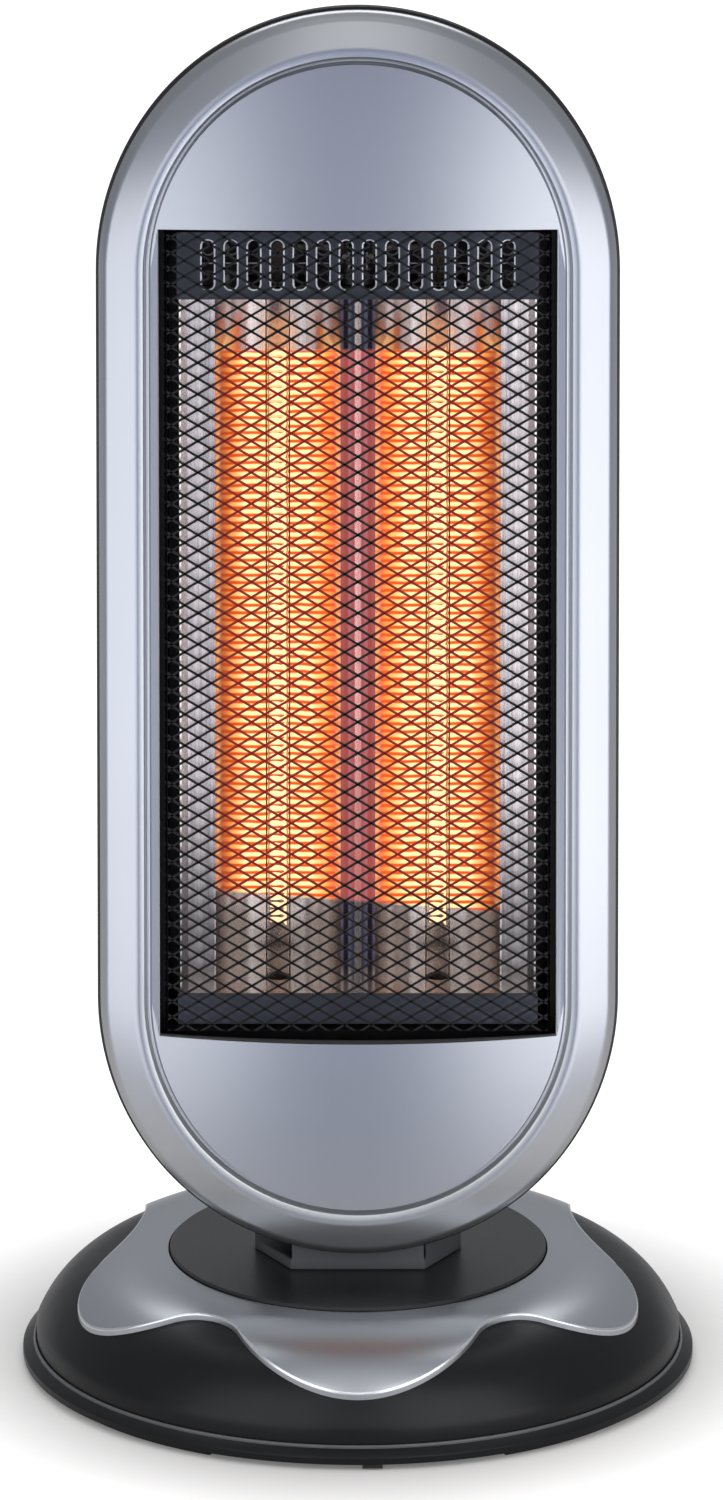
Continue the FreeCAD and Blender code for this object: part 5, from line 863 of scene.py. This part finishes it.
neck_low, neck_high = millimetres("neck")
NECK_STEP, NECK_STEP_HEIGHT = 2.0, 6.5
NECK_FACE, NECK_FRONT_CORNER, NECK_BACK_CORNER = 32.0, 30.0, 16.0
foot_side, foot_face = neck_high.x - NECK_STEP, NECK_FACE - NECK_STEP
shape = bmesh.new()
add_chain(shape, [(across, depth, neck_low.z) for across, depth in (
    (-foot_face, neck_low.y + NECK_STEP), (foot_face, neck_low.y + NECK_STEP),
    (foot_side, neck_low.y + NECK_FRONT_CORNER), (foot_side, neck_high.y - NECK_BACK_CORNER),
    (foot_face, neck_high.y - NECK_STEP), (-foot_face, neck_high.y - NECK_STEP),
    (-foot_side, neck_high.y - NECK_BACK_CORNER), (-foot_side, neck_low.y + NECK_FRONT_CORNER))], closed=True)
top = bmesh.ops.contextual_create(shape, geom=shape.edges[:])["faces"]
for lift, grow in ((NECK_STEP_HEIGHT, NECK_STEP), (neck_high.z - neck_low.z - NECK_STEP_HEIGHT, 0.0)):
    raised = bmesh.ops.extrude_face_region(shape, geom=top)["geom"]
    bmesh.ops.translate(shape, vec=(0.0, 0.0, lift), verts=only(bmesh.types.BMVert, raised))
    top = only(bmesh.types.BMFace, raised)
    if grow:
        bmesh.ops.inset_region(shape, faces=top, thickness=grow, use_outset=True)
creases = [edge for edge in shape.edges if edge.is_manifold and edge.calc_face_angle() > math.radians(30.0)]
bmesh.ops.bevel(shape, geom=creases, offset=0.8, offset_type="OFFSET", segments=3, profile=0.5,
                affect="EDGES", material=-1, clamp_overlap=True)
finish_piece("neck_block", shape, neck_plastic, "black_gloss", "head", "neck", sharp=30.0)


# Screws, neck bracket, swing motor's can and thermal cut-out: small steel parts inside the head and the
# base, turned or pressed and then plated. They keep their CAD shapes.

# Zinc plating: pale grey metal with a bloom over 2.9 mm that makes its shine uneven.
zinc_steel = new_material("zinc_plated_steel")
place = add_node(zinc_steel, "TexCoord").outputs["Object"]
bloom = add_node(zinc_steel, "TexNoise", {"Vector": place, "Scale": 1 / (2.86 * MM), "Detail": 4.0})
sheen = add_node(zinc_steel, "MapRange", {"Value": bloom, "To Min": 0.22, "To Max": 0.42})
shader = add_node(zinc_steel, "BsdfPrincipled", {
    "Base Color": linear("#B9BABC"), "Metallic": 1.0, "Roughness": sheen})
add_node(zinc_steel, "OutputMaterial", {"Surface": shader})
coat(zinc_steel, "motor_screws", "base_screws", "arm_screws", "neck_bracket", "neck_screws", "bracket_screws",
     "cover_screws", "guard_screws", "plate_screws", "swing_motor", "thermal_cutout")


# End caps: pressed and fired steatite blocks on the tubes' ends, which steel straps hold to the end
# plates. They keep their CAD shapes.

# Steatite: matt brown, darkened by heat, with specks over 2.4 mm.
ceramic = new_material("steatite_ceramic")
place = add_node(ceramic, "TexCoord").outputs["Object"]
speck = add_node(ceramic, "TexNoise", {"Vector": place, "Scale": 1 / (2.38 * MM), "Detail": 4.0})
tone = add_node(ceramic, "Mix", {
    "Factor": speck, "A": linear("#41362F"), "B": linear("#54483E")}, data_type="RGBA")
shader = add_node(ceramic, "BsdfPrincipled", {"Base Color": tone, "Roughness": 0.6})
add_node(ceramic, "OutputMaterial", {"Surface": shader})
coat(ceramic, "upper_end_caps", "lower_end_caps")


# Leads: stranded wires in braided glass sleeving, from the caps to the cut-out and the selector. They
# keep their CAD shapes.

# Glass sleeving: dull cream, with a diagonal braid at a pitch of 0.7 mm.
sleeving = new_material("braided_glass_sleeving")
place = add_node(sleeving, "TexCoord").outputs["Object"]
braid = add_node(sleeving, "TexWave", {
    "Vector": place, "Scale": math.pi / (10 * 0.7 * MM), "Distortion": 2.0}, bands_direction="DIAGONAL")
grain = add_node(sleeving, "Bump", {"Height": braid.outputs["Fac"], "Strength": 0.5, "Distance": 0.3 * MM})
shader = add_node(sleeving, "BsdfPrincipled", {
    "Base Color": linear("#D9CFBE"), "Roughness": 0.8, "Normal": grain})
add_node(sleeving, "OutputMaterial", {"Surface": shader})
coat(sleeving, "upper_leads", "lower_leads")


# Bearing ring, thrust washer and terminal block: moulded nylon, above and below the deck and on the base
# plate. They keep their CAD shapes.

# Nylon: milky white, with a haze over 5 mm in its low shine.
nylon = new_material("white_nylon")
place = add_node(nylon, "TexCoord").outputs["Object"]
haze = add_node(nylon, "TexNoise", {"Vector": place, "Scale": 1 / (5.0 * MM)})
sheen = add_node(nylon, "MapRange", {"Value": haze, "To Min": 0.4, "To Max": 0.55})
shader = add_node(nylon, "BsdfPrincipled", {
    "Base Color": linear("#DDDCD6"), "Roughness": sheen, "Subsurface Weight": 0.1})
add_node(nylon, "OutputMaterial", {"Surface": shader})
coat(nylon, "bearing_ring", "thrust_washer", "terminal_block")


# Feet and cord gland: moulded black rubber, under the base plate's rim and in a hole at the shell's back.
# They keep their CAD shapes.

# Rubber: matt charcoal, with a faint bloom over 2 mm.
rubber = new_material("black_rubber")
place = add_node(rubber, "TexCoord").outputs["Object"]
bloom = add_node(rubber, "TexNoise", {"Vector": place, "Scale": 1 / (2.0 * MM), "Detail": 5.0})
tone = add_node(rubber, "Mix", {
    "Factor": bloom, "A": linear("#17171A"), "B": linear("#222225")}, data_type="RGBA")
shader = add_node(rubber, "BsdfPrincipled", {"Base Color": tone, "Roughness": 0.75})
add_node(rubber, "OutputMaterial", {"Surface": shader})
coat(rubber, "rubber_feet", "cord_gland")
